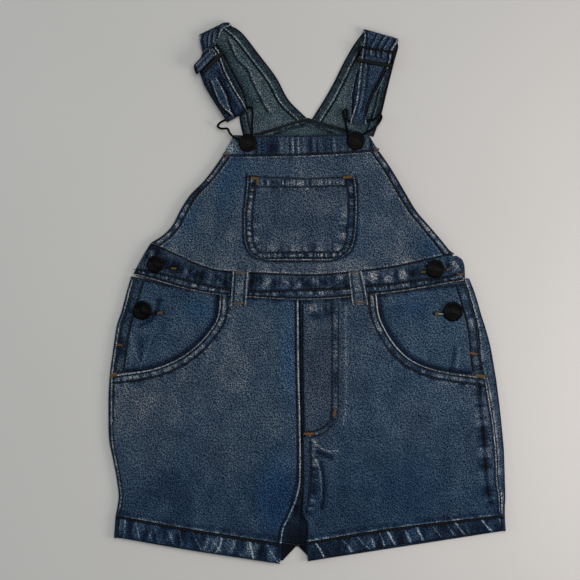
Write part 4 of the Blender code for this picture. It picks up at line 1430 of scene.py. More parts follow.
@dataclass
class SideWrap:
    """A back panel that lies flat and wraps round the side fold up to the seam in front."""

    node: str
    sign: int
    side: tuple[Side, ...]
    spans: Array
    top: float
    slot: Slot = Slot.DENIM
    wall: float = WALL
    tone: float = 0.47
    marks: list[LineMark] = field(default_factory=list)
    under_marks: list[LineMark] = field(default_factory=list)
    patches: tuple[Patch, ...] = ()

    def shell(self) -> Shell:
        """The wrap as a sheet of points, with its wear and painted shade."""
        spans = self.spans if self.sign < 0 else self.spans[::-1]
        inner_x, inner_y, side_y = spans[:, 0:1], spans[:, 1:2], spans[:, 2:3]
        fold, seam = (lookup(self.side, side_y[:, 0], column)[:, None] for column in ("fold_x", "seam_x"))
        seam = seam + self.sign * LIP_GAP
        radius = self.top / 2.0
        turn_x = fold - self.sign * radius
        flat_steps = max(8, round(float(np.abs(turn_x - inner_x).max()) / HIDDEN_CELL))
        share = np.linspace(0.0, 1.0, flat_steps + 1)[None, :]
        flat_x = inner_x + (turn_x - inner_x) * share
        out = (flat_x - inner_x) / (fold - inner_x)
        flat_y = inner_y + (side_y - inner_y) * out - sag_at(spans[:, 3:6], out)
        angle = math.pi * np.linspace(0.0, 1.0, BEND_STEPS + 1)[None, 1:]
        bend_x = turn_x + self.sign * radius * np.sin(angle)
        bend_z = radius * (1.0 - np.cos(angle)) + 0.0 * bend_x
        lip = np.linspace(0.0, 1.0, LIP_STEPS + 1)[None, 1:]
        lip_x = bend_x[:, -1:] + (seam - bend_x[:, -1:]) * lip
        x = np.hstack([flat_x, bend_x, lip_x])
        y = np.hstack([flat_y, side_y + 0.0 * bend_x, side_y + 0.0 * lip_x])
        z = np.hstack([0.0 * flat_x, bend_z, self.top + 0.0 * lip_x])
        front = np.clip((z - 0.3 * self.top) / (0.4 * self.top), 0.0, 1.0)
        tone, rise = wear_and_shade_at(x, y, self.marks)
        under_tone, _ = wear_and_shade_at(x, y, self.under_marks)
        worn = 0.05 * (cloud(x, y, 7.0, 10.0, 15) + 0.6 * cloud(x, y, 3.0, 4.0, 16))
        z = z + rise * front
        tone = self.tone + worn + tone * front + under_tone * (1.0 - front)
        tint = 0.25 * cloud(x, y, 26.0, 31.0, 18)
        for patch in self.patches:
            tone = tone + patch.tone * patch.strength(x, y)
        steps = np.hypot(np.diff(x, axis=1), np.diff(z, axis=1))
        along = np.hstack([np.zeros((len(x), 1)), np.cumsum(steps, axis=1)])
        return Shell(self.node, self.slot, self.wall, np.stack([x, y, z], axis=-1),
                     np.stack([along, y], axis=-1), tone, tint)


class StrapEdge(NamedTuple):
    """Wear along a strap's left (-1) or right (1) edge, over shares of its length."""

    side: int
    inset: float
    width: float
    tone: float
    rise: float = 0.0
    fray: float = 0.4
    start: float = 0.0
    stop: float = 1.0


# Hems of a strap whose inner side shows, the wider one first, and the strap's face past its fold
STRAP_HEMS = table(
    StrapEdge,
    (1, 0.5, 0.8, -0.4, 0.0, 0.2), (1, 3.8, 2.6, -0.2), (1, 6.6, 0.6, 0.4, 0.1, 0.2),
    (1, 7.8, 0.8, -0.45, 0.0, 0.2), (-1, 0.6, 0.8, -0.4, 0.0, 0.2), (-1, 3.4, 2.4, -0.18),
    (-1, 5.6, 0.5, 0.26, 0.1, 0.3), (-1, 6.7, 0.7, -0.4, 0.0, 0.2),
)
STRAP_TURNED = table(
    StrapEdge,
    (1, 0.6, 0.7, 0.42, 0.1, 0.2), (-1, 0.6, 0.6, 0.25, 0.1), (1, 2.4, 0.7, -0.3, -0.2),
    (-1, 2.4, 0.7, -0.25, -0.2), (1, 6.4, 0.7, 0.2, 0.4), (1, 8.0, 0.7, -0.26, -0.52),
    (1, 11.0, 0.7, 0.18, 0.36), (1, 12.6, 0.7, -0.22, -0.44), (1, 16.6, 0.7, 0.16, 0.32),
    (1, 18.0, 0.7, -0.2, -0.4),
)
# Worn edges of the straps' front runs, with the creases beside them
LEFT_RUN_EDGES = table(
    StrapEdge,
    (1, 0.5, 0.6, 0.5, 0.1, 0.3), (-1, 0.5, 0.6, -0.25, 0.1), (1, 2.0, 0.7, -0.4, -0.15, 0.2),
    (-1, 2.2, 0.6, -0.3, -0.15), (1, 3.2, 0.5, 0.2, 0.1),
)
RIGHT_RUN_EDGES = table(
    StrapEdge,
    (1, 0.6, 0.6, 0.35, 0.1, 0.3), (-1, 0.6, 0.6, 0.35, 0.1, 0.3), (1, 2.2, 0.6, -0.25, -0.15),
    (-1, 2.2, 0.6, -0.25, -0.15), (-1, 4.4, 0.9, 0.12, 0.2, 0.6, 0.04, 0.45),
    (-1, 6.4, 0.9, -0.15, -0.2, 0.4, 0.04, 0.45),
)
# A stitch's rings, along it: share of its length, height above the cloth and size, in radii
THREAD_RINGS = ((-0.02, -0.75, 0.45), (0.14, 0.12, 0.95), (0.5, 0.38, 1.0), (0.86, 0.12, 0.95),
                (1.02, -0.75, 0.45))
# A bartack's threads: how far apart, their radius, their height and how far they lean
BAR_PITCH, BAR_RADIUS, BAR_LIFT, BAR_SKEW = 0.5, 0.34, 0.25, 0.25


@dataclass
class Strap:
    """A strap that runs one way, turns round a fold and runs back on another level.

    Its wear is given on the strap itself: across from its middle, and along from its start.
    """

    node: str
    first: tuple[Station, ...]
    fold: Station
    second: tuple[Station, ...]
    slot: Slot
    tone: float = 0.5
    reverse: float = 0.0
    mottle: float = 0.05
    edges: tuple[StrapEdge, ...] = ()
    wide_hem: int = 0
    plan: tuple[LineMark, ...] = ()
    turned_tone: float = 0.0
    corner: float = 0.0

    def __post_init__(self) -> None:
        """Work out the strap's sections and its face."""
        self.stations = self.dense_stations()
        rows = self.stations
        share = np.linspace(0.0, 1.0, STRAP_ACROSS + 1)[None, :]
        x = rows[:, 0:1] + (rows[:, 2:3] - rows[:, 0:1]) * share
        y = rows[:, 1:2] + (rows[:, 3:4] - rows[:, 1:2]) * share
        z = rows[:, 4:5] + 0.0 * share
        if self.corner:
            turn = self.fold
            near = np.exp(-((rows[:, 0:1] - turn.left_x) ** 2 + (rows[:, 1:2] - turn.left_y) ** 2) / 60.0)
            pull = self.corner * near * np.clip((share - 0.78) / 0.22, 0.0, 1.0) ** 2.0
            x, y = x - self.out[0] * pull, y - self.out[1] * pull
        self.face = np.stack([x, y, z], axis=-1)
        middle = self.face[:, STRAP_ACROSS // 2]
        self.along = lengths(middle)
        self.widths = np.hypot(rows[:, 2] - rows[:, 0], rows[:, 3] - rows[:, 1])
        normal = np.cross(np.gradient(self.face, axis=0), np.gradient(self.face, axis=1))
        self.normals = normal / np.maximum(np.linalg.norm(normal, axis=2), 1e-9)[..., None]
        self.worn = self.edge_marks(self.edges)
        if self.wide_hem:
            self.worn += self.hem_marks()

    def edge_marks(self, rows: Sequence[StrapEdge], hand: int = 1, start: float = 0.0,
                   stop: float = 1.0) -> list[LineMark]:
        """Wear along the strap's edges.

        Args:
            rows: the wear, a row for each line.
            hand: 1, or -1 to swap left and right.
            start: where a row's share 0 lies on the strap.
            stop: where its share 1 lies.

        Returns:
            The marks.
        """
        marks = []
        for row in rows:
            ends = (start * (1.0 - share) + stop * share for share in (row.start, row.stop))
            marks.append(Mark(self.edge(hand * row.side, row.inset, *ends), row.width, row.tone, row.rise,
                              row.fray))
        return marks

    def hem_marks(self) -> list[LineMark]:
        """Wear of a strap whose inner side shows: hems along both edges, and ridges over the fold."""
        turn = self.turn_share()
        return [*self.edge_marks(STRAP_HEMS, self.wide_hem, 0.0, turn),
                *self.edge_marks(STRAP_TURNED, 1, turn),
                Ripples(self.edge(self.wide_hem, 3.6, 0.0, turn), 3.0, 3.0, 3.6, 0.1, 0.1)]

    def dense_stations(self) -> Array:
        """Sections of the strap about a cell apart, a line for each."""
        before = self.first[-1]
        radius = abs(self.second[0].level - before.level) / 2.0
        run_x, run_y = self.fold.right_x - self.fold.left_x, self.fold.right_y - self.fold.left_y
        size = math.hypot(run_x, run_y)
        out_x, out_y = -run_y / size, run_x / size
        from_x = self.fold.left_x + self.fold.right_x - before.left_x - before.right_x
        from_y = self.fold.left_y + self.fold.right_y - before.left_y - before.right_y
        if from_x * out_x + from_y * out_y < 0.0:
            out_x, out_y = -out_x, -out_y
        self.out = (out_x, out_y)
        angle = np.linspace(0.0, math.pi, 15)
        pull = radius * (np.sin(angle) - 1.0)
        level = before.level + (self.second[0].level - before.level) * (1.0 - np.cos(angle)) / 2.0
        turn = np.stack([self.fold.left_x + out_x * pull, self.fold.left_y + out_y * pull,
                         self.fold.right_x + out_x * pull, self.fold.right_y + out_y * pull, level], axis=-1)
        up = np.vstack([np.array(self.first, float), turn[:1]])
        down = np.vstack([turn[-1:], np.array(self.second, float)])
        dense = [smooth(part.T, row_places(part[:, 0:2], part[:, 2:4], STRAP_CELL)).T for part in (up, down)]
        return np.vstack([dense[0][:-1], turn, dense[1][1:]])

    def edge(self, side: int, inset: float, start: float = 0.0, stop: float = 1.0) -> Array:
        """A line inside the strap's left (-1) or right (1) edge, over shares of its length."""
        keep = (self.along >= start * self.along[-1]) & (self.along <= stop * self.along[-1])
        return np.stack([side * (self.widths[keep] / 2.0 - inset), self.along[keep]], axis=-1)

    def grid(self) -> tuple[Array, Array]:
        """Places of the face on the strap itself: across from its middle, and along."""
        share = np.linspace(-0.5, 0.5, STRAP_ACROSS + 1)[None, :]
        return self.widths[:, None] * share, self.along[:, None] + 0.0 * share

    def shell(self) -> Shell:
        """The strap as a sheet of points, with its wear and painted shade."""
        across, along = self.grid()
        tone, rise = wear_and_shade_at(across, along, self.worn)
        tone = self.tone + tone + self.mottle * (cloud(across, along, 5.0, 7.0, 25)
                                                 + 0.7 * cloud(across, along, 2.2, 3.0, 26))
        tint = 0.2 * cloud(across, along, 15.0, 21.0, 28)
        height = self.face[..., 2]
        turned = np.clip((height / height.max() - 0.4) * 5.0, 0.0, 1.0)
        facing = 1.0 - turned if self.reverse else turned
        plan_tone, plan_rise = wear_and_shade_at(self.face[..., 0], self.face[..., 1], self.plan)
        tone, rise = tone + plan_tone * facing, rise + plan_rise * facing
        tone = tone + self.turned_tone * turned
        edge = self.widths[:, None] / 2.0 - np.abs(across)
        if self.reverse:
            rise = rise * turned - np.clip(rise, 0.0, None) * (1.0 - turned)
        rise = rise - fall_at(edge, 0.45)
        return Shell(self.node, self.slot, STRAP_WALL, self.face + self.normals * rise[..., None],
                     np.stack([across, along], axis=-1), tone, tint, self.reverse * (1.0 - turned))

    def turn_share(self) -> float:
        """Share of the strap's length at which it turns over."""
        height = self.face[:, 0, 2]
        return float(self.along[int(np.argmax(height > 0.5 * height.max()))] / self.along[-1])

    def spots(self, line: Array) -> tuple[Array, Array]:
        """Points and normals on the strap's face along a line on the strap itself.

        Args:
            line: across from the strap's middle and along from its start, a line for each place.

        Returns:
            The points and the normals, in millimetres.
        """
        row = np.interp(line[:, 1], self.along, np.arange(len(self.along)))
        width = np.interp(line[:, 1], self.along, self.widths)
        column = np.clip((line[:, 0] / width + 0.5) * STRAP_ACROSS, 0.0, STRAP_ACROSS)
        down = row.astype(int).clip(0, len(self.along) - 2)
        across = column.astype(int).clip(0, STRAP_ACROSS - 1)
        u, v = (row - down)[:, None], (column - across)[:, None]
        _, rise = wear_and_shade_at(line[:, 0], line[:, 1], self.worn)
        found = []
        for values in (self.face, self.normals):
            found.append((values[down, across] * (1 - v) + values[down, across + 1] * v) * (1 - u)
                         + (values[down + 1, across] * (1 - v) + values[down + 1, across + 1] * v) * u)
        if not self.reverse:
            return found[0] + found[1] * rise[:, None], found[1]
        over = (found[0][:, 2:3] > 0.5 * self.face[..., 2].max())
        lifted = np.where(over, rise[:, None], -STRAP_WALL - np.clip(rise[:, None], 0.0, None))
        return found[0] + found[1] * lifted, np.where(over, 1.0, -1.0) * found[1]


@dataclass
class Sewing:
    """Stitches of one zone of the garment, gathered as short rounded lengths of thread."""

    name: str
    slot: Slot = Slot.DARK
    sides: int = 5
    starts: list[Array] = field(default_factory=list)
    ends: list[Array] = field(default_factory=list)
    ups: list[Array] = field(default_factory=list)
    radii: list[Array] = field(default_factory=list)
    threads: list[Array] = field(default_factory=list)

    def add(self, starts: Array, ends: Array, ups: Array, radius: float, thread: Thread) -> None:
        """Add stitches from their ends and the way that the cloth faces.

        Args:
            starts: where each stitch starts.
            ends: where it ends.
            ups: the way that the cloth faces.
            radius: the thread's radius.
            thread: the thread.
        """
        self.starts.append(starts)
        self.ends.append(ends)
        self.ups.append(ups)
        self.radii.append(np.full(len(starts), radius))
        self.threads.append(np.full(len(starts), list(Thread).index(thread)))

    def row(self, spots: Callable[[Array], tuple[Array, Array]], stitches: Stitches) -> None:
        """Sew a row of stitches along its line.

        Args:
            spots: gives points and normals of the piece along a line.
            stitches: the row.
        """
        line = stitches.line
        place = lengths(line)
        pitch = stitches.length + stitches.space
        count = int(place[-1] // pitch)
        if count < 1:
            return
        begin = (place[-1] - count * pitch + stitches.space) / 2.0 + np.arange(count) * pitch
        wander = 0.12 * uneven(begin, 2.0 * pitch, int(abs(line[0, 0] * 17.0)) + 3)
        sides = []
        for at in (begin + wander, begin + wander + stitches.length):
            flat = np.stack([np.interp(at, place, line[:, 0]), np.interp(at, place, line[:, 1])], axis=-1)
            sides.append(spots(flat))
        self.add(sides[0][0], sides[1][0], sides[0][1], stitches.radius, stitches.thread)

    def bar(self, spots: Callable[[Array], tuple[Array, Array]], bar: Bartack) -> None:
        """Sew a bartack: close threads across its length.

        Args:
            spots: gives points and normals of the piece along a line.
            bar: the bartack.
        """
        length = math.hypot(bar.to_x - bar.from_x, bar.to_y - bar.from_y)
        count = max(3, round(length / BAR_PITCH))
        share = (np.arange(count) + 0.5)[:, None] / count
        run = np.array([[bar.to_x - bar.from_x, bar.to_y - bar.from_y]])
        middle = np.array([[bar.from_x, bar.from_y]]) + run * share
        across = np.array([[-run[0, 1], run[0, 0]]]) / length * bar.width / 2.0
        skew = run / length * BAR_SKEW
        tips = [spots(middle + turn * (across + skew)) for turn in (-1.0, 1.0)]
        lift = BAR_LIFT * tips[0][1]
        self.add(tips[0][0] + lift, tips[1][0] + lift, tips[0][1], BAR_RADIUS, bar.thread)

    def build(self, material: bpy.types.Material) -> bpy.types.Object:
        """Build all the stitches as one piece.

        Args:
            material: the material of the piece.

        Returns:
            The piece, in place on the garment.
        """
        start, end, up = (np.vstack(part) for part in (self.starts, self.ends, self.ups))
        radius, thread = np.concatenate(self.radii), np.concatenate(self.threads)
        run = end - start
        length = np.maximum(np.linalg.norm(run, axis=1), 1e-6)[:, None]
        side = np.cross(run / length, up)
        side /= np.maximum(np.linalg.norm(side, axis=1), 1e-9)[:, None]
        up = np.cross(side, run / length)
        angle = 2.0 * math.pi * np.arange(self.sides) / self.sides + 0.3
        rings = []
        for share, height, size in THREAD_RINGS:
            centre = start + run * share + up * (radius * height)[:, None]
            ring = (centre[:, None, :] + (side[:, None, :] * np.cos(angle)[None, :, None]
                    + 0.8 * up[:, None, :] * np.sin(angle)[None, :, None]) * (radius * size)[:, None, None])
            rings.append(ring)
        points = np.stack(rings, axis=1)
        per = len(THREAD_RINGS) * self.sides
        faces = []
        ring = np.arange(self.sides)
        following = (ring + 1) % self.sides
        template = [[k * self.sides + a, k * self.sides + b, (k + 1) * self.sides + b,
                     (k + 1) * self.sides + a]
                    for k in range(len(THREAD_RINGS) - 1) for a, b in zip(ring, following)]
        caps = [ring[::-1].tolist(), (ring + (len(THREAD_RINGS) - 1) * self.sides).tolist()]
        for number in range(len(start)):
            faces += [[number * per + int(v) for v in face] for face in template + caps]
        mesh = bpy.data.meshes.new(self.name)
        mesh.from_pydata((points.reshape(-1, 3) * MM).tolist(), [], faces)
        mesh.shade_smooth()
        attribute = mesh.attributes.new("thread", "FLOAT", "POINT")
        attribute.data.foreach_set("value", np.repeat(thread, per).astype(np.float32))
        turn_outwards(mesh)
        return ride(new_piece(self.name, mesh, material), self.slot)


def on_surface(level: Callable[[Array, Array], Array]) -> Callable[[Array], tuple[Array, Array]]:
    """Points and normals of a flat piece's face along a line.

    Args:
        level: the level of the piece's face at places.

    Returns:
        A function from a line's points to points and normals.
    """
    def spots(line: Array) -> tuple[Array, Array]:
        """Points and normals along a line."""
        z = level(line[:, 0], line[:, 1])
        points = np.stack([line[:, 0], line[:, 1], z], axis=-1)
        return points, np.tile([0.0, 0.0, 1.0], (len(line), 1))

    return spots


def choose_faces(piece: bpy.types.Object, wanted: Callable[[Vector, Vector], bool]) -> None:
    """Select the faces of a piece in edit mode by their middle and normal, in the scene's frame.

    Args:
        piece: the piece, in edit mode.
        wanted: says whether a face is taken, from its middle and its normal.
    """
    bpy.ops.mesh.select_all(action="DESELECT")
    shape = bmesh.from_edit_mesh(piece.data)
    for face in shape.faces:
        face.select_set(wanted(piece.matrix_world @ face.calc_center_median(), face.normal))
    shape.select_flush_mode()
    bmesh.update_edit_mesh(piece.data)


def soften(piece: bpy.types.Object, width: float, segments: int = 2) -> None:
    """Round a piece's edges, in millimetres, and shade it smooth.

    Args:
        piece: the piece.
        width: the width of the rounding.
        segments: how many faces go round it.
    """
    bevel = piece.modifiers.new("Edges", "BEVEL")
    bevel.width = width * MM
    bevel.segments = segments
    bevel.limit_method = "ANGLE"
    bevel.angle_limit = math.radians(35.0)
    fix_modifiers(piece)
    bpy.ops.object.transform_apply(location=True, rotation=True, scale=True)
    bpy.ops.object.shade_smooth_by_angle(angle=math.radians(40.0))


class Ring(NamedTuple):
    """A step on a button's face, from the rim inwards: how wide it is, and how far it rises."""

    width: float
    rise: float


@dataclass
class TackButton:
    """A tack button: a domed black cap with pressed rings, on a stem."""

    button: Button
    rings: tuple[Ring, ...] = (
        Ring(0.45, 0.55), Ring(0.85, 0.2), Ring(0.5, -0.1), Ring(0.35, -0.55), Ring(0.9, -0.05),
        Ring(0.25, 0.25), Ring(0.35, 0.0), Ring(0.25, -0.25), Ring(1.2, 0.02), Ring(0.3, 0.22),
        Ring(0.5, 0.05),
    )
    cap_height: float = 1.2
    under_lip: float = 1.4
    sides: int = 48

    def level(self) -> float:
        """Level of the cloth that the button stands on, in millimetres."""
        spot = self.button
        return spot.base + GAP + float(cloth_level(np.array(spot.x), np.array(spot.y))) - FRONT_LEVEL

    def build(self, material: bpy.types.Material) -> bpy.types.Object:
        """Turn the cap, press its rings and draw its stem out.

        Args:
            material: the material of the piece.

        Returns:
            The piece, in place on the garment.
        """
        spot = self.button
        low = self.level() + spot.stem
        bpy.ops.object.select_all(action="DESELECT")
        bpy.ops.mesh.primitive_cylinder_add(
            vertices=self.sides, radius=(spot.radius - 0.35) * MM, depth=self.cap_height * MM,
            end_fill_type="NGON",
            location=(spot.x * MM, spot.y * MM, (low + self.cap_height / 2.0) * MM))
        piece = bpy.context.active_object
        piece.name = piece.data.name = spot.name + "_cap"
        bpy.ops.object.mode_set(mode="EDIT")
        bpy.ops.mesh.select_mode(type="FACE")
        choose_faces(piece, lambda middle, normal: normal.z > 0.5)
        for ring in self.rings:
            bpy.ops.mesh.inset(thickness=ring.width * MM, depth=0.0)
            bpy.ops.transform.translate(value=(0.0, 0.0, ring.rise * MM))
        choose_faces(piece, lambda middle, normal: normal.z < -0.5)
        bpy.ops.mesh.inset(thickness=self.under_lip * MM, depth=0.0)
        bpy.ops.mesh.inset(thickness=(spot.radius - 0.35 - self.under_lip - STEM_RADIUS) * MM, depth=0.0)
        bpy.ops.mesh.extrude_region_move(TRANSFORM_OT_translate={"value": (0.0, 0.0, -spot.stem * MM)})
        bpy.ops.object.mode_set(mode="OBJECT")
        piece.data.materials.append(material)
        soften(piece, 0.22)
        return ride(piece, Slot.METAL, spot.name)


@dataclass
class StrapSlider:
    """A slider: a flat frame with two windows, whose middle bar may lie lower than the others."""

    node: str
    slider: Slider
    width: float = SLIDER_WIDTH
    depth: float = SLIDER_DEPTH
    low_bar: float = SLIDER_LOW_BAR

    def build(self, material: bpy.types.Material) -> bpy.types.Object:
        """Lay out the frame as a grid, open its windows and give it rounded bars.

        Args:
            material: the material of the piece.

        Returns:
            The piece, in place on the garment.
        """
        spot = self.slider
        bpy.ops.object.select_all(action="DESELECT")
        bpy.ops.mesh.primitive_grid_add(x_subdivisions=3, y_subdivisions=5, size=2.0 * MM,
                                        location=(spot.x * MM, spot.y * MM, spot.level * MM))
        piece = bpy.context.active_object
        piece.name = piece.data.name = self.node + "_frame"
        half_width, half_depth = self.width / 2.0, self.depth / 2.0
        across = (-half_width, SLIDER_BAR - half_width, half_width - SLIDER_BAR, half_width)
        up = (-half_depth, self.low_bar - half_depth, -SLIDER_BAR / 2.0, SLIDER_BAR / 2.0,
              half_depth - SLIDER_BAR,
              half_depth)
        columns = sorted({round(vertex.co.x, 7) for vertex in piece.data.vertices})
        lines = sorted({round(vertex.co.y, 7) for vertex in piece.data.vertices})
        for vertex in piece.data.vertices:
            column = min(range(len(columns)), key=lambda i: abs(columns[i] - vertex.co.x))
            line = min(range(len(lines)), key=lambda i: abs(lines[i] - vertex.co.y))
            inside = 0 < column < len(columns) - 1
            low = -spot.dip if line in (2, 3) and inside else 0.0
            vertex.co = Vector((across[column], up[line], low - SLIDER_PLATE / 2.0)) * MM
        bpy.ops.object.mode_set(mode="EDIT")
        bpy.ops.mesh.select_mode(type="FACE")
        centre = Vector((spot.x, spot.y, 0.0)) * MM
        choose_faces(piece, lambda middle, normal: abs(middle.x - centre.x) < 5.0 * MM
                     and SLIDER_BAR * MM < abs(middle.y - centre.y) < (half_depth - SLIDER_BAR) * MM
                     and middle.y - centre.y > (0.6 * self.low_bar - half_depth) * MM)
        bpy.ops.mesh.delete(type="FACE")
        bpy.ops.object.mode_set(mode="OBJECT")
        piece.rotation_euler = (0.0, 0.0, math.radians(spot.turn))
        thicken(piece, SLIDER_PLATE, 1.0)
        piece.data.materials.append(material)
        soften(piece, 0.5, 3)
        return ride(piece, Slot.METAL, self.node)


@dataclass
class WireBuckle:
    """A wire buckle: a bar in the strap's turn, ears, and a narrow eye round the button's stem."""

    node: str
    route: tuple[WirePoint, ...]
    steps: int = 6

    def build(self, material: bpy.types.Material) -> bpy.types.Object:
        """Draw the wire through its route as a round closed tube.

        Args:
            material: the material of the piece.

        Returns:
            The piece, in place on the garment.
        """
        count = len(self.route)
        points = []
        for index in range(count):
            p0, p1, p2, p3 = (np.array(self.route[(index + k - 1) % count]) for k in range(4))
            for t in (step / self.steps for step in range(self.steps)):
                points.append(between(p0, p1, p2, p3, t))
        curve = bpy.data.curves.new(self.node + "_wire", "CURVE")
        curve.dimensions = "3D"
        curve.bevel_depth = WIRE_RADIUS * MM
        curve.bevel_resolution = 4
        spline = curve.splines.new("POLY")
        spline.points.add(len(points) - 1)
        for point, spot in zip(spline.points, points):
            point.co = (*(spot * MM), 1.0)
        spline.use_cyclic_u = True
        piece = bpy.data.objects.new(self.node + "_wire", curve)
        bpy.context.scene.collection.objects.link(piece)
        choose(piece)
        bpy.ops.object.convert(target="MESH")
        piece = bpy.context.active_object
        piece.data.materials.clear()
        piece.data.materials.append(material)
        piece.data.shade_smooth()
        return ride(piece, Slot.METAL, self.node)


class Graph:
    """The nodes of one material."""

    def __init__(self, name: str) -> None:
        """Start a material with its Principled shader.

        Args:
            name: the material's name.
        """
        self.material = bpy.data.materials.new(name)
        self.material.use_nodes = True
        self.tree = self.material.node_tree
        self.shader = self.tree.nodes["Principled BSDF"]

    def node(self, kind: str, **settings: object) -> bpy.types.Node:
        """Add a node with its settings."""
        node = self.tree.nodes.new(kind)
        for name, value in settings.items():
            setattr(node, name, value)
        return node

    def feed(self, socket: bpy.types.NodeSocket, value: object) -> None:
        """Give a socket a number, a colour or another node's output."""
        if isinstance(value, bpy.types.NodeSocket):
            self.tree.links.new(value, socket)
        else:
            socket.default_value = value

    def maths(self, operation: str, first: object, second: object = 0.0,
              clamp: bool = False) -> bpy.types.NodeSocket:
        """The result of a sum on two values.

        Args:
            operation: the sum.
            first: a number or a socket.
            second: another, where it takes two.
            clamp: whether the result is held between 0 and 1.

        Returns:
            The result's socket.
        """
        node = self.node("ShaderNodeMath", operation=operation, use_clamp=clamp)
        self.feed(node.inputs[0], first)
        self.feed(node.inputs[1], second)
        return node.outputs[0]

    def value(self, name: str) -> bpy.types.NodeSocket:
        """A number that the mesh carries."""
        return self.node("ShaderNodeAttribute", attribute_name=name).outputs["Fac"]

    def noise(self, vector: bpy.types.NodeSocket, scale: float, detail: float = 2.0) -> bpy.types.NodeSocket:
        """Noise over a vector, from 0 to 1.

        Args:
            vector: the places.
            scale: how fine it is.
            detail: how many finer layers it has.

        Returns:
            The noise's socket.
        """
        node = self.node("ShaderNodeTexNoise")
        self.feed(node.inputs["Vector"], vector)
        node.inputs["Scale"].default_value = scale
        node.inputs["Detail"].default_value = detail
        node.inputs["Roughness"].default_value = 0.6
        return node.outputs["Fac"]

    def ramp(self, factor: bpy.types.NodeSocket, stops: Sequence[tuple[float, tuple[float, float, float]]],
             steps: bool = False) -> bpy.types.NodeSocket:
        """A colour along a ramp.

        Args:
            factor: the place along the ramp.
            stops: places along it, with their colours.
            steps: whether the colours meet at hard steps.

        Returns:
            The colour's socket.
        """
        node = self.node("ShaderNodeValToRGB")
        self.feed(node.inputs["Fac"], factor)
        node.color_ramp.interpolation = "CONSTANT" if steps else "LINEAR"
        elements = node.color_ramp.elements
        while len(elements) < len(stops):
            elements.new(0.5)
        for element, (place, colour) in zip(elements, stops):
            element.position = place
            element.color = (*colour, 1.0)
        return node.outputs["Color"]

    def mix(self, factor: object, first: object, second: object, how: str = "MIX") -> bpy.types.NodeSocket:
        """A mix of two colours.

        Args:
            factor: how much of the second shows.
            first: a colour or a socket.
            second: a colour or a socket.
            how: the way that they mix.

        Returns:
            The colour's socket.
        """
        node = self.node("ShaderNodeMix", data_type="RGBA", blend_type=how)
        self.feed(node.inputs["Factor"], factor)
        self.feed(node.inputs["A"], first)
        self.feed(node.inputs["B"], second)
        return node.outputs["Result"]

    def bump(self, height: bpy.types.NodeSocket, depth: float, strength: float) -> None:
        """Raise the surface by a height, in millimetres.

        Args:
            height: the height, from 0 to 1.
            depth: how far apart 0 and 1 are.
            strength: how much of it shows.
        """
        node = self.node("ShaderNodeBump")
        node.inputs["Distance"].default_value = depth * MM
        node.inputs["Strength"].default_value = strength
        self.feed(node.inputs["Height"], height)
        self.feed(self.shader.inputs["Normal"], node.outputs["Normal"])


def tint_of(red: float, green: float, blue: float) -> tuple[float, float, float]:
    """A screen colour, from 0 to 255, as the shader takes it."""
    return tuple((v / 12.92 if v <= 0.04045 else ((v + 0.055) / 1.055) ** 2.4)
                 for v in (red / 255.0, green / 255.0, blue / 255.0))


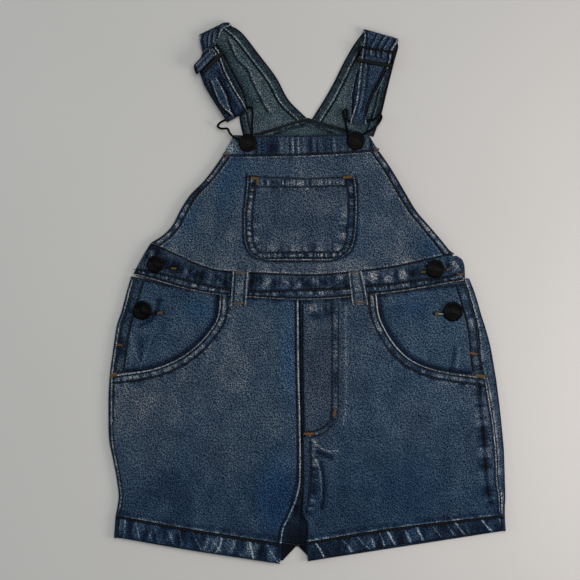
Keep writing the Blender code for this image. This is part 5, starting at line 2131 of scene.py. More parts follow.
@dataclass(frozen=True)
class DenimFinish:
    """Washed denim: dyed twill that is pale where it is worn, navy in its folds, and dark where shade is
    painted into its tone.
    """

    name: str
    speckle: float = 2.3
    fade: float = 0.135
    twill_turn: float = 58.0
    twill_pitch: float = 0.9

    def build(self) -> bpy.types.Material:
        """Build the material."""
        graph = Graph(self.name)
        cloth = graph.node("ShaderNodeUVMap", uv_map="cloth").outputs["UV"]
        turned = graph.node("ShaderNodeMapping", vector_type="POINT")
        graph.feed(turned.inputs["Vector"], cloth)
        turned.inputs["Rotation"].default_value = (0.0, 0.0, math.radians(90.0 - self.twill_turn))
        turned.inputs["Scale"].default_value = (1000.0, 1000.0, 1.0)
        parts = graph.node("ShaderNodeSeparateXYZ")
        graph.feed(parts.inputs[0], turned.outputs["Vector"])
        across, along = parts.outputs["X"], parts.outputs["Y"]
        stretched = graph.node("ShaderNodeCombineXYZ")
        graph.feed(stretched.inputs["X"], graph.maths("MULTIPLY", across, 1.3))
        graph.feed(stretched.inputs["Y"], graph.maths("MULTIPLY", along, 0.85))
        coarse = graph.noise(stretched.outputs[0], 1.0, 2.0)
        fine = graph.noise(stretched.outputs[0], 2.6, 1.0)
        ridge = graph.maths("SINE", graph.maths("MULTIPLY", across, 2.0 * math.pi / self.twill_pitch))
        grain = graph.maths("ADD",
                            graph.maths("MULTIPLY", graph.maths("SUBTRACT", coarse, 0.5), 1.9 * self.speckle),
                            graph.maths("MULTIPLY", graph.maths("SUBTRACT", fine, 0.5), 1.3 * self.speckle))
        grain = graph.maths("ADD", grain, graph.maths("MULTIPLY", ridge, 0.07 * self.speckle))
        grain = graph.maths("SUBTRACT", graph.maths("MINIMUM", grain, 0.42), self.fade)
        tone = graph.maths("ADD", graph.value("tone"), grain, clamp=True)
        dyed = graph.ramp(tone, [(place, tint_of(*colour)) for place, colour in DENIM_TONES])
        tint = graph.value("tint")
        bluer = graph.mix(graph.maths("MULTIPLY", tint, 1.0, clamp=True), (1.0, 1.0, 1.0, 1.0),
                          (0.55, 0.98, 1.28, 1.0))
        greyer = graph.mix(graph.maths("MULTIPLY", tint, -1.0, clamp=True), (1.0, 1.0, 1.0, 1.0),
                           (1.25, 1.02, 0.95, 1.0))
        dyed = graph.mix(1.0, graph.mix(1.0, dyed, bluer, "MULTIPLY"), greyer, "MULTIPLY")
        inside = graph.ramp(tone, [(place, tint_of(*colour)) for place, colour in INSIDE_TONES])
        graph.feed(graph.shader.inputs["Base Color"], graph.mix(graph.value("reverse"), dyed, inside))
        graph.feed(graph.shader.inputs["Roughness"],
                   graph.maths("ADD", graph.maths("MULTIPLY", coarse, 0.12), 0.82))
        graph.shader.inputs["Sheen Weight"].default_value = 0.02
        graph.shader.inputs["Sheen Roughness"].default_value = 0.5
        graph.shader.inputs["Specular IOR Level"].default_value = 0.12
        height = graph.maths("ADD", graph.maths("MULTIPLY", ridge, 0.25), graph.maths("ADD", coarse, fine))
        graph.bump(height, 0.16, 0.8)
        return graph.material


@dataclass(frozen=True)
class ThreadFinish:
    """Sewing thread in its four colours, picked by what each stitch carries."""

    name: str = "thread"

    def build(self) -> bpy.types.Material:
        """Build the material."""
        graph = Graph(self.name)
        where = graph.node("ShaderNodeTexCoord").outputs["Object"]
        fuzz = graph.noise(where, 2600.0, 2.0)
        picked = graph.maths("DIVIDE", graph.maths("ADD", graph.value("thread"), 0.5), float(len(Thread)))
        colours = graph.ramp(picked, [(index / len(Thread), tint_of(*THREAD_COLOURS[thread]))
                                      for index, thread in enumerate(Thread)], steps=True)
        shade = graph.ramp(fuzz, [(0.3, (0.55, 0.55, 0.55)), (0.7, (1.35, 1.35, 1.35))])
        graph.feed(graph.shader.inputs["Base Color"], graph.mix(1.0, colours, shade, "MULTIPLY"))
        graph.shader.inputs["Roughness"].default_value = 0.7
        graph.bump(fuzz, 0.05, 0.6)
        return graph.material


@dataclass(frozen=True)
class BlackMetalFinish:
    """Black painted metal, satin, with faint wear."""

    name: str = "black_hardware"

    def build(self) -> bpy.types.Material:
        """Build the material."""
        graph = Graph(self.name)
        where = graph.node("ShaderNodeTexCoord").outputs["Object"]
        wear = graph.noise(where, 420.0, 3.0)
        colour = graph.ramp(wear, [(0.35, tint_of(2, 2, 3)), (0.72, tint_of(6, 6, 8))])
        graph.feed(graph.shader.inputs["Base Color"], colour)
        graph.feed(graph.shader.inputs["Roughness"],
                   graph.maths("ADD", graph.maths("MULTIPLY", wear, 0.14), 0.13))
        graph.shader.inputs["Specular IOR Level"].default_value = 0.05
        graph.bump(graph.noise(where, 900.0, 2.0), 0.02, 0.2)
        return graph.material


@dataclass(frozen=True)
class FloorFinish:
    """Plain pale floor."""

    name: str = "pale_floor"

    def build(self) -> bpy.types.Material:
        """Build the material."""
        graph = Graph(self.name)
        where = graph.node("ShaderNodeTexCoord").outputs["Object"]
        soft = graph.noise(where, 3.0, 2.0)
        graph.feed(graph.shader.inputs["Base Color"],
                   graph.ramp(soft, [(0.3, tint_of(207, 206, 203)), (0.7, tint_of(211, 210, 207))]))
        graph.shader.inputs["Roughness"].default_value = 0.9
        graph.shader.inputs["Specular IOR Level"].default_value = 0.1
        return graph.material


@dataclass
class SeamCord:
    """A seam's allowance, seen as a dark cord in the gap between two panels."""

    line: Array
    height: float
    radius: float = 0.5

    def surface(self, x: Array, y: Array) -> Array:
        """Level of the cord at places, above or below the front's cloth."""
        return self.height + 0.0 * x


@dataclass
class Zone:
    """A sub-assembly of cloth: its panels, and the stitches on them."""

    finishes: dict[Slot, bpy.types.Material]
    thread: bpy.types.Material
    name: str = "zone"
    rests_on: tuple[str, ...] = ()

    def panels(self) -> list[Panel]:
        """The zone's panels."""
        return []

    def seams(self) -> list["SeamCord"]:
        """The dark seams that close the gaps between panels."""
        return []

    def build(self) -> None:
        """Build the panels and sew them."""
        sewing = Sewing("stitches_" + self.name)
        panels = self.panels()
        for panel in panels:
            panel.build(self.finishes[panel.slot])
            spots = on_surface(panel.surface)
            for row in panel.rows:
                sewing.row(spots, row)
            for bar in panel.bars:
                sewing.bar(spots, bar)
        for seam in self.seams():
            sewing.row(on_surface(seam.surface), Stitches(seam.line, Thread.DARK, 3.0, -0.2, seam.radius))
        for panel in panels:
            if not panel.trim_of:
                trims = [other.node + "_cloth" for other in panels if other.trim_of == panel.node]
                panel.declare("laid", self.rests_on, trims)
        sewing.build(self.thread)


@dataclass
class BibZone(Zone):
    """The bib: its front, turned armhole edges, top band and pocket."""

    name: str = "bib"
    rests_on: tuple[str, ...] = ("back_bib_cloth",)
    edge_row: float = 1.5
    pocket_band: float = 6.6

    def strip(self, side: str, sign: int) -> Panel:
        """A turned armhole edge, along one side of the bib.

        Args:
            side: left or right.
            sign: -1 for left, 1 for right.

        Returns:
            The edge as a panel.
        """
        panel = Panel("bib_edge_" + side, edge_strip(BIB, ARMHOLE_HEM, sign < 0), Slot.DARK, HEM_WALL,
                      tone=0.46,
                      mottle=0.14, tint=-0.35, roll=0.8, trim_of="bib_front")
        outer, inner = ("left", "right") if sign < 0 else ("right", "left")
        out, near = panel.border(outer, 1.4), panel.border(inner, 0.8)
        panel.marks = [
            Mark(out, 0.6, -0.26, -0.2), Mark(near, 0.8, -0.36, -0.25),
            panel.ripples(outer, 3.6, 3.0, 3.0, 3.4, 0.16, 0.2),
            panel.mark(outer, 0.2, 0.5, -0.3, 0.0, 0.2), panel.mark(outer, 2.9, 0.9, 0.1, 0.0, 0.8),
        ]
        panel.rows = sewn(out, near)
        return panel

    def panels(self) -> list[Panel]:
        """The bib's panels."""
        front = Panel("bib_front", BIB, trims=(ARMHOLE_HEM, ARMHOLE_HEM), tone=0.51)
        front.marks = [
            front.mark("top", 0.6, 0.55, 0.3, 0.1, 0.6, 2.0), front.mark("top", 2.2, 1.2, -0.08),
            front.mark("bottom", 0.7, 0.6, 0.22, 0.1, 0.6, 2.0),
            front.mark("left", 0.6, 0.5, 0.2, 0.05, 0.5), front.mark("right", 0.6, 0.5, 0.2, 0.05, 0.5),
            front.ripples("bottom", 0.5, 7.0, 7.0, 5.0, 0.07, 0.15),
            front.ripples("top", 0.5, 5.0, 5.0, 4.0, 0.06, 0.12),
            # painted shadow of the pocket on the bib: a dark line just outside the pocket's edge
            Mark(offset_line(self.outline(self.pocket(), 0.45), -1.3), 1.0, -0.3, 0.0, 0.3),
        ]
        band = Panel("bib_top_band", BIB_TOP_BAND, Slot.DARK, HEM_WALL, tone=0.43, mottle=0.06, tint=-0.25)
        middle = band.border("top", 9.0)
        band.marks = [
            Ripples(middle, 12.0, 12.0, 2.4, 0.16, 0.2),
            Ripples(middle, 12.0, 12.0, 7.0, 0.12, 0.2, lean=8.0),
            band.mark("top", 1.0, 0.5, -0.2, -0.15),
            band.mark("top", 0.3, 0.4, 0.1), band.mark("bottom", 1.2, 0.6, -0.3, -0.25),
        ]
        band.rows = sewn(band.border("bottom", 1.2), band.border("top", 1.2))
        band.bars = [Bartack(-67.0, 110.0, -62.4, 109.6, 1.6), Bartack(53.6, 113.4, 57.4, 113.8, 1.6)]
        return [front, self.strip("left", -1), self.strip("right", 1), band, self.pocket()]

    def pocket(self) -> Panel:
        """The bib pocket, with its pale edge, two rows of stitches and puckers between them."""
        pocket = Panel("bib_pocket", BIB_POCKET, wall=PATCH_WALL, lift=WALL + GAP, tone=0.47, tint=-0.25,
                       roll=0.6)
        outer, inner = (self.outline(pocket, inset) for inset in (self.edge_row, self.pocket_band))
        edge = self.outline(pocket, 0.45)
        hem_low = pocket.border("top", 7.0)[2:-2]
        hem_top = pocket.border("top", 1.0)
        pocket.marks = [
            Mark(edge, 0.55, 0.46, 0.05, 0.3, 2.0), Mark(outer, 0.85, -0.4, -0.2),
            Mark(inner, 0.7, -0.32, -0.2),
            Ripples(self.outline(pocket, 4.0), 3.2, 3.2, 1.7, 0.22, 0.25),
            Ripples(self.outline(pocket, 7.4)[18:-18], 7.5, 0.6, 3.2, 0.16, 0.25),
            Mark(hem_low, 0.55, -0.3, -0.2), Mark(hem_top, 0.5, -0.25, -0.15),
            pocket.ripples("top", 4.0, 3.0, 3.0, 1.5, 0.28, 0.2), pocket.mark("top", 0.3, 0.4, 0.2),
            Ripples(hem_low, 0.4, 4.5, 3.4, 0.12, 0.15),
        ]
        pocket.rows = sewn(outer, inner, hem_low, hem_top)
        pocket.bars = [
            Bartack(-44.8, 91.0, -40.0, 90.2), Bartack(-39.6, 91.4, -39.8, 85.4),
            Bartack(28.6, 91.2, 36.2, 92.0),
        ]
        return pocket

    def outline(self, pocket: Panel, inset: float) -> Array:
        """The pocket's left, lower and right edges as one line inside them.

        Args:
            pocket: the pocket.
            inset: how far inside the edges.

        Returns:
            The line's points.
        """
        left, right = pocket.border("left", inset), pocket.border("right", inset)
        bottom = pocket.border("bottom", inset)
        low = bottom[len(bottom) // 2, 1]
        left, right = left[left[:, 1] > low + 2.2], right[right[:, 1] > low + 2.2]
        bottom = bottom[(bottom[:, 0] > left[-1, 0] + 2.0) & (bottom[:, 0] < right[-1, 0] - 2.0)]
        return np.vstack([left, bottom, right[::-1]])


@dataclass
class WaistZone(Zone):
    """The front waistband with its belt loops."""

    name: str = "waist"
    rests_on: tuple[str, ...] = ("back_bib_cloth", "back_waist_cloth")
    edge: float = 1.8

    def panels(self) -> list[Panel]:
        """The waistband and the two belt loops."""
        band = Panel("waistband_front", WAISTBAND, Slot.DARK, HEM_WALL, tone=0.45, tint=-0.3, mottle=0.05)
        upper = rounded(WAIST_UPPER_ROW)
        lower = band.border("bottom", self.edge)
        middle = band.border("top", 7.5)
        band.marks = [
            Mark(upper, 0.8, -0.36, -0.3, 0.15), Mark(lower, 0.75, -0.38, -0.3, 0.15),
            band.mark("bottom", 0.5, 0.6, 0.5, 0.05, 0.3, 1.6),
            Mark(rounded(((-127.0, 36.0), (-119.0, 33.6))), 3.0, -0.4),
            Ripples(offset_line(upper, -2.2), 2.4, 2.4, 1.9, 0.22, 0.3, bias=0.15),
            Ripples(middle, 8.0, 7.0, 3.6, 0.2, 0.3), Ripples(middle, 8.0, 7.0, 6.0, 0.12, 0.2, lean=50.0),
            Mark(rounded(((62.0, 6.0), (84.0, 9.0), (112.0, 13.0))), 9.0, -0.07),
            Ripples(middle, 8.0, 7.0, 6.5, 0.12, 0.2, lean=-48.0), band.mark("top", 0.8, 0.6, -0.24, -0.1),
            # painted shadows of the belt loops: dark bands on the waistband beside the loops, with a slight
            # dip
            Mark(rounded(((-63.0, 18.0), (-63.5, 4.0))), 3.4, -0.22, -0.1),
            Mark(rounded(((-43.0, 18.0), (-43.6, 2.0))), 3.0, -0.22, -0.1),
            Mark(rounded(((49.0, 8.0), (50.5, -2.0))), 3.0, -0.18, -0.1),
        ]
        band.rows = sewn(upper, lower)
        band.marks += [Mark(rounded(((-112.6, 19.4), (-103.6, 18.8))), 1.1, -0.3),
                       Mark(rounded(((92.0, 15.4), (112.6, 17.8))), 1.1, -0.3)]
        band.bars = [Bartack(-108.4, 19.0, -104.2, 18.7, 1.6), Bartack(90.8, 15.9, 94.8, 16.1, 1.6),
                     Bartack(111.0, 17.4, 113.4, 18.4, 1.6), Bartack(119.6, 14.4, 124.6, 14.2, 1.2)]
        loops = [self.loop("left", BELT_LOOP_LEFT), self.loop("right", BELT_LOOP_RIGHT)]
        return [band, *loops]

    def loop(self, side: str, rungs: tuple[Rung, ...]) -> Panel:
        """A belt loop, with pale edges and a bartack at each end.

        Args:
            side: left or right.
            rungs: the loop's rungs.

        Returns:
            The loop as a panel.
        """
        loop = Panel("belt_loop_" + side, rungs, wall=PATCH_WALL, lift=HEM_WALL + GAP + LOOP_LIFT, tone=0.54,
                     cell=0.6, tint=-0.1)
        loop.marks = [
            loop.mark("left", 0.6, 0.5, 0.3), loop.mark("right", 0.6, 0.5, 0.3),
            loop.mark("left", 2.2, 0.6, -0.28, -0.2), loop.mark("right", 2.2, 0.6, -0.28, -0.2),
            loop.ripples("left", 6.0, 5.0, 5.0, 4.0, 0.1, 0.15),
        ]
        loop.rows = sewn(loop.border("left", STITCH_INSET), loop.border("right", STITCH_INSET))
        top, foot = loop.rungs[0], loop.rungs[-1]
        loop.bars = [Bartack(top.left_x + 1.6, top.left_y - 1.4, top.right_x - 1.6, top.right_y - 1.4, 1.1),
                     Bartack(foot.left_x + 1.0, foot.left_y + 2.0, foot.right_x - 1.0, foot.right_y + 2.0,
                             1.3)]
        return loop

    def seams(self) -> list[SeamCord]:
        """The seam under the waistband."""
        across = np.linspace(0.005, 0.995, 140)
        x, y = points_on(np.array([WAIST_SEAM], float), across[None, :])
        return [SeamCord(np.stack([x[0], y[0]], axis=-1), FRONT_LEVEL + 0.2, 0.6)]


class HemLook(NamedTuple):
    """A front hem's tone, how pale its fine and its broad ridges are, and the broad ones' lean."""

    tone: float
    fine: float
    broad: float
    lean: float


@dataclass
class LegZone(Zone):
    """One front leg with its pocket facing, hip placket and hem."""

    name: str = "leg_left"
    rests_on: tuple[str, ...] = ("leg_back_left_cloth",)
    sign: int = -1
    side: tuple[Side, ...] = SIDE_LEFT
    pocket_edge: tuple[PocketPoint, ...] = POCKET_EDGE_LEFT
    levels: tuple[LegLevel, ...] = LEG_LEVELS_LEFT
    facing_rows: tuple[Facing, ...] = POCKET_FACING_LEFT
    hem_seam: Rung = HEM_SEAM_LEFT
    foot: Foot = FOOT_LEFT
    waist_ends: tuple[float, float] = (-69.4, -6.7)
    edge_row: float = 1.5
    edge_band: float = 6.3
    hem_look: HemLook = HemLook(0.31, 0.5, 0.26, 8.0)

    @property
    def hand(self) -> str:
        """Which hand this leg is on, as its nodes are named."""
        return "left" if self.sign < 0 else "right"

    def seam(self, height: float) -> float:
        """The side seam's place across at a height."""
        return float(lookup(self.side, np.array(height), "seam_x"))

    def hem_rung(self) -> Rung:
        """The hem's seam, with its outer end on the side seam."""
        if self.sign < 0:
            return self.hem_seam._replace(left_x=self.seam(self.hem_seam.left_y))
        return self.hem_seam._replace(right_x=self.seam(self.hem_seam.right_y))

    def leg_rungs(self) -> tuple[Rung, ...]:
        """Rungs of the leg, from the waist seam past the pocket's edge to the hem."""
        column = "left_x" if self.sign < 0 else "right_x"
        rungs = [stretch_of(WAIST_SEAM, *self.waist_ends)]
        for point in self.pocket_edge:
            centre = float(lookup(CENTRE_SEAM, np.array(point.centre_y), column))
            rungs.append(order_rung(self.sign, point.x, point.y, centre, point.centre_y))
        for row in self.levels:
            centre = float(lookup(CENTRE_SEAM, np.array(row.centre_y), column))
            rungs.append(order_rung(self.sign, self.seam(row.side_y), row.side_y, centre, row.centre_y))
        return (*rungs, self.hem_rung())

    def pocket_line(self, inset: float) -> Array:
        """The pocket's edge as a line, so far inside the leg's cloth.

        Args:
            inset: how far inside.

        Returns:
            The line's points, from the waist down.
        """
        start = point_on(stretch_of(WAIST_SEAM, *self.waist_ends), 0.0 if self.sign < 0 else 1.0)
        end_y = self.levels[0].side_y
        points = [start, *((point.x, point.y) for point in self.pocket_edge), (self.seam(end_y), end_y)]
        return offset_line(rounded(points), -self.sign * inset)

    def hem(self) -> Panel:
        """The leg's hem, dark, with pale ridges that lean across it."""
        seam = self.hem_rung()
        foot = order_rung(self.sign, self.seam(self.foot.side_y), self.foot.side_y, self.foot.inner_x,
                          self.foot.inner_y)
        foot = foot._replace(quarter=seam.quarter, half=seam.half, three_quarters=seam.three_quarters)
        hem = Panel("hem_front_" + self.hand, (seam, foot), Slot.DARK, HEM_WALL, tone=self.hem_look.tone,
                    mottle=0.09, roll=1.0, cell=0.55)
        top = hem.border("top", 0.9)
        fine, broad, lean = self.hem_look[1:]
        hem.marks = [
            Mark(top, 0.9, -0.4, -0.25), hem.ripples("top", 8.0, 9.0, 9.0, 4.6, 0.13, 0.2, lean=-lean),
            Streaks(hem.border("top", 0.2), 0.5, 17.5, 9.6, 0.7, fine, 0.4, 24.0),
            Streaks(hem.border("top", 0.3), 0.5, 17.0, 5.2, 1.9, broad, 0.2, lean),
            hem.mark("bottom", 0.4, 0.6, -0.3, 0.0, 0.3),
        ]
        hem.rows = sewn(top)
        return hem

    def facing(self) -> list[Panel]:
        """The pocket facing inside the curved pocket, and the turned edge beside it."""
        rungs = tuple(order_rung(self.sign, self.seam(row.side_y), row.side_y, row.inner_x, row.inner_y)
                      for row in self.facing_rows)
        trims = (PLACKET, 0.0) if self.sign < 0 else (0.0, PLACKET)
        facing = Panel("pocket_facing_" + self.hand, rungs, lift=-TUCK, trims=trims, tone=0.47, tint=0.2)
        facing.patches = FACING_PATCHES
        if self.sign < 0:
            facing.bars = [Bartack(-119.4, -16.9, -115.2, -16.4, 2.2)]
            facing.marks = [
                Mark(rounded(FACING_CREASE), 1.8, -0.22, -0.4, 0.2),
                Mark(rounded(FACING_FOLD), 1.1, 0.12, 0.3),
                Mark(rounded(FACING_FOLD_OTHER), 1.1, 0.12, 0.3),
                Mark(rounded(FACING_FOLD_DARK), 2.0, -0.12, -0.2),
                Mark(rounded(((-124.0, -17.0), (-114.6, -16.6))), 1.3, -0.3),
            ]
        else:
            facing.bars = [Bartack(102.4, -17.2, 104.8, -17.3, 3.0),
                           Bartack(105.2, -17.4, 109.6, -17.7, 1.0, Thread.PALE)]
            facing.marks = [
                Mark(rounded(FACING_RIDGE_RIGHT), 1.0, 0.14, 0.3),
                Mark(rounded(FACING_DARK_RIGHT), 1.4, -0.14, -0.3),
                Mark(rounded(((101.0, -17.2), (112.0, -17.8))), 1.4, -0.3),
            ]
        facing.marks += [
            # painted shadow: the first mark darkens the facing under the pocket's edge, and the dark mark at
            # the facing's top is shadow under the waistband
            Mark(offset_line(self.pocket_line(0.0), self.sign * 1.6), 2.4, -0.3, 0.0, 0.3),
            facing.ripples("top", 0.5, 5.0, 5.0, 4.0, 0.1, 0.12), facing.mark("top", 1.0, 1.5, -0.2),
        ]
        return [facing, self.placket(rungs)]

    def placket(self, rungs: tuple[Rung, ...]) -> Panel:
        """The turned edge at the side opening, along the facing's rungs.

        Args:
            rungs: the facing's rungs.

        Returns:
            The edge as a panel.
        """
        placket = Panel("placket_" + self.hand, edge_strip(rungs, PLACKET, self.sign < 0), Slot.DARK, WALL,
                        lift=-TUCK, tone=0.42, mottle=0.1, trim_of="pocket_facing_" + self.hand)
        outer_side, inner_side = ("left", "right")[::-self.sign]
        inner, outer = placket.border(inner_side, 0.7), placket.border(outer_side, 1.4)
        placket.marks = [
            Mark(inner, 0.6, -0.3, -0.2), Mark(outer, 0.5, -0.2, -0.2),
            placket.ripples("left", 4.0, 4.0, 4.0, 3.4, 0.12, 0.15),
            placket.mark(outer_side, 0.4, 0.5, 0.16, 0.0, 0.6),
        ]
        placket.rows = sewn(inner, outer)
        placket.bars = ([Bartack(-152.6, -42.0, -147.4, -42.6, 1.8)] if self.sign < 0
                        else [Bartack(130.0, -48.6, 135.4, -49.6, 1.8, Thread.RUST)])
        if self.sign < 0:
            placket.marks.append(Mark(rounded(((-154.0, -42.4), (-146.8, -42.8))), 2.6, -0.3))
        return placket

    def leg(self) -> Panel:
        """The leg's front panel."""
        leg = Panel("leg_front_" + self.hand, self.leg_rungs())
        edge, first, second = (self.pocket_line(inset) for inset in (0.5, self.edge_row, self.edge_band))
        middle = self.pocket_line(4.0)
        outward = (5.0, 0.5) if self.sign > 0 else (0.5, 5.0)
        leg.marks = [
            Mark(edge, 0.5, 0.42, 0.05, 0.35, 2.0), Mark(first, 0.65, -0.36, -0.22),
            Mark(second, 0.8, -0.4, -0.25),
            Ripples(middle, 2.6, 2.6, 2.1, 0.16, 0.22, bias=0.25),
            Ripples(second, outward[1], outward[0], 3.2, 0.14, 0.2),
            # the dark mark along the leg's top is painted shadow under the waistband's edge
            leg.ripples("top", 0.5, 6.0, 6.0, 4.5, 0.12, 0.15), leg.mark("top", 1.2, 1.6, -0.18),
            leg.mark("bottom", 0.7, 0.75, 0.3, 0.15, 0.65, 1.6), leg.mark("bottom", 3.0, 1.8, -0.1),
            leg.ripples("bottom", 0.5, 6.0, 6.0, 4.4, 0.09, 0.15),
        ]
        leg.rows = sewn(first, second)
        return leg

    def panels(self) -> list[Panel]:
        """The leg's panels."""
        return [self.leg(), *self.facing(), self.hem()]


@dataclass
class LeftLegZone(LegZone):
    """The left leg, with the corded centre seam on its inner edge."""

    def leg(self) -> Panel:
        """The left leg's front panel."""
        leg = super().leg()
        cord = leg.border("right", 0.9)
        side = rounded(LEFT_SIDE_ROW)
        leg.marks += [
            # the dark line left of the cord is its stitch line, darkened further as painted shadow beside the
            # raised cord
            Mark(cord, 0.65, 0.5, 0.35, 0.55, 0.9), leg.mark("right", 2.5, 0.8, -0.42, -0.25),
            Mark(side, 0.6, -0.25, -0.2), Ripples(side, 3.0, 3.0, 4.0, 0.1, 0.2),
            Mark(rounded(CROTCH_ROW), 0.5, 0.3, 0.2), Mark(offset_line(rounded(CROTCH_ROW), -1.2), 0.6, -0.2),
        ]
        leg.bars = [Bartack(-157.0, -67.0, -151.6, -65.4, 3.0)]
        leg.rows += sewn(leg.border("right", 2.3), side)
        return leg


@dataclass
class RightLegZone(LegZone):
    """The right leg, with the felled seam and the folds at the crotch, and the fly on it."""

    name: str = "leg_right"
    rests_on: tuple[str, ...] = ("leg_back_right_cloth",)
    sign: int = 1
    side: tuple[Side, ...] = SIDE_RIGHT
    pocket_edge: tuple[PocketPoint, ...] = POCKET_EDGE_RIGHT
    levels: tuple[LegLevel, ...] = LEG_LEVELS_RIGHT
    facing_rows: tuple[Facing, ...] = POCKET_FACING_RIGHT
    hem_seam: Rung = HEM_SEAM_RIGHT
    foot: Foot = FOOT_RIGHT
    waist_ends: tuple[float, float] = (-6.4, 55.4)
    hem_look: HemLook = HemLook(0.29, 0.7, 0.12, 24.0)

    def leg(self) -> Panel:
        """The right leg's front panel."""
        leg = super().leg()
        leg.tone -= 0.025
        leg.tint += 0.05
        zone = rounded(RIGHT_SIDE_ZONE)
        left, right = rounded(FELLED_LEFT), rounded(FELLED_RIGHT)
        leg.marks += [
            # the dark line along the left edge is painted shadow beside the corded centre seam
            leg.mark("left", 0.6, 1.0, -0.42, -0.1, 0.2), Mark(left, 0.6, -0.3, -0.2),
            Mark(right, 0.7, -0.34, -0.25), Ripples(offset_line(right, 3.0), 3.6, 3.6, 3.2, 0.2, 0.3),
            Mark(rounded(CROTCH_RIDGE), 0.8, 0.24, 0.5, 0.2),
            Mark(rounded(CROTCH_VALLEY), 1.7, -0.22, -0.4, 0.1),
            Mark(rounded(CROTCH_RIDGE_HIGH), 0.7, 0.22, 0.4, 0.2),
            Mark(rounded(CROTCH_VALLEY_HIGH), 2.0, -0.22, -0.3, 0.1),
            Mark(zone, 1.7, -0.3, -0.3, 0.3), Ripples(zone, 6.0, 7.0, 6.0, 0.24, 0.4),
            leg.mark("right", 0.6, 0.5, 0.4, 0.1, 0.4, 2.5), leg.mark("right", 1.9, 0.6, -0.25, -0.2),
            Mark(rounded(FLY_RIDGE), 1.2, 0.12, 0.25, 0.3, 6.0),
        ]
        leg.bars = [Bartack(134.0, -66.2, 141.8, -67.6, 2.6)]
        leg.rows += sewn(left, right, leg.border("right", 1.9), leg.border("right", 7.6))
        return leg

    def fly(self) -> Panel:
        """The fly flap, with its two rows of stitches down to the bartacks."""
        fly = Panel("fly_flap", FLY, Slot.DARK, PATCH_WALL, lift=WALL + GAP, tone=0.45, tint=-0.3, roll=0.8)
        outer, inner = rounded(FLY_OUTER), rounded(FLY_INNER)
        fly.marks = [
            Mark(outer, 0.6, -0.3, -0.2), Mark(inner, 0.6, -0.3, -0.2),
            Ripples(offset_line(inner, 2.6), 2.6, 2.6, 2.6, 0.14, 0.2),
            # the dark mark along the fly's left edge is painted shadow beside the corded centre seam
            fly.mark("left", 0.6, 0.9, -0.3, -0.1), fly.ripples("top", 3.0, 5.0, 6.0, 6.0, 0.16, 0.2),
            Mark(rounded(((2.0, -18.0), (10.0, -19.0), (18.0, -17.0))), 3.0, -0.2, 0.0, 0.7),
        ]
        fly.rows = sewn(outer, inner)
        fly.bars = [
            Bartack(22.6, -93.0, 21.0, -99.0), Bartack(-2.6, -112.8, 5.2, -112.8, 1.8, Thread.RUST),
        ]
        return fly

    def panels(self) -> list[Panel]:
        """The leg's panels, and the fly."""
        return [*super().panels(), self.fly()]


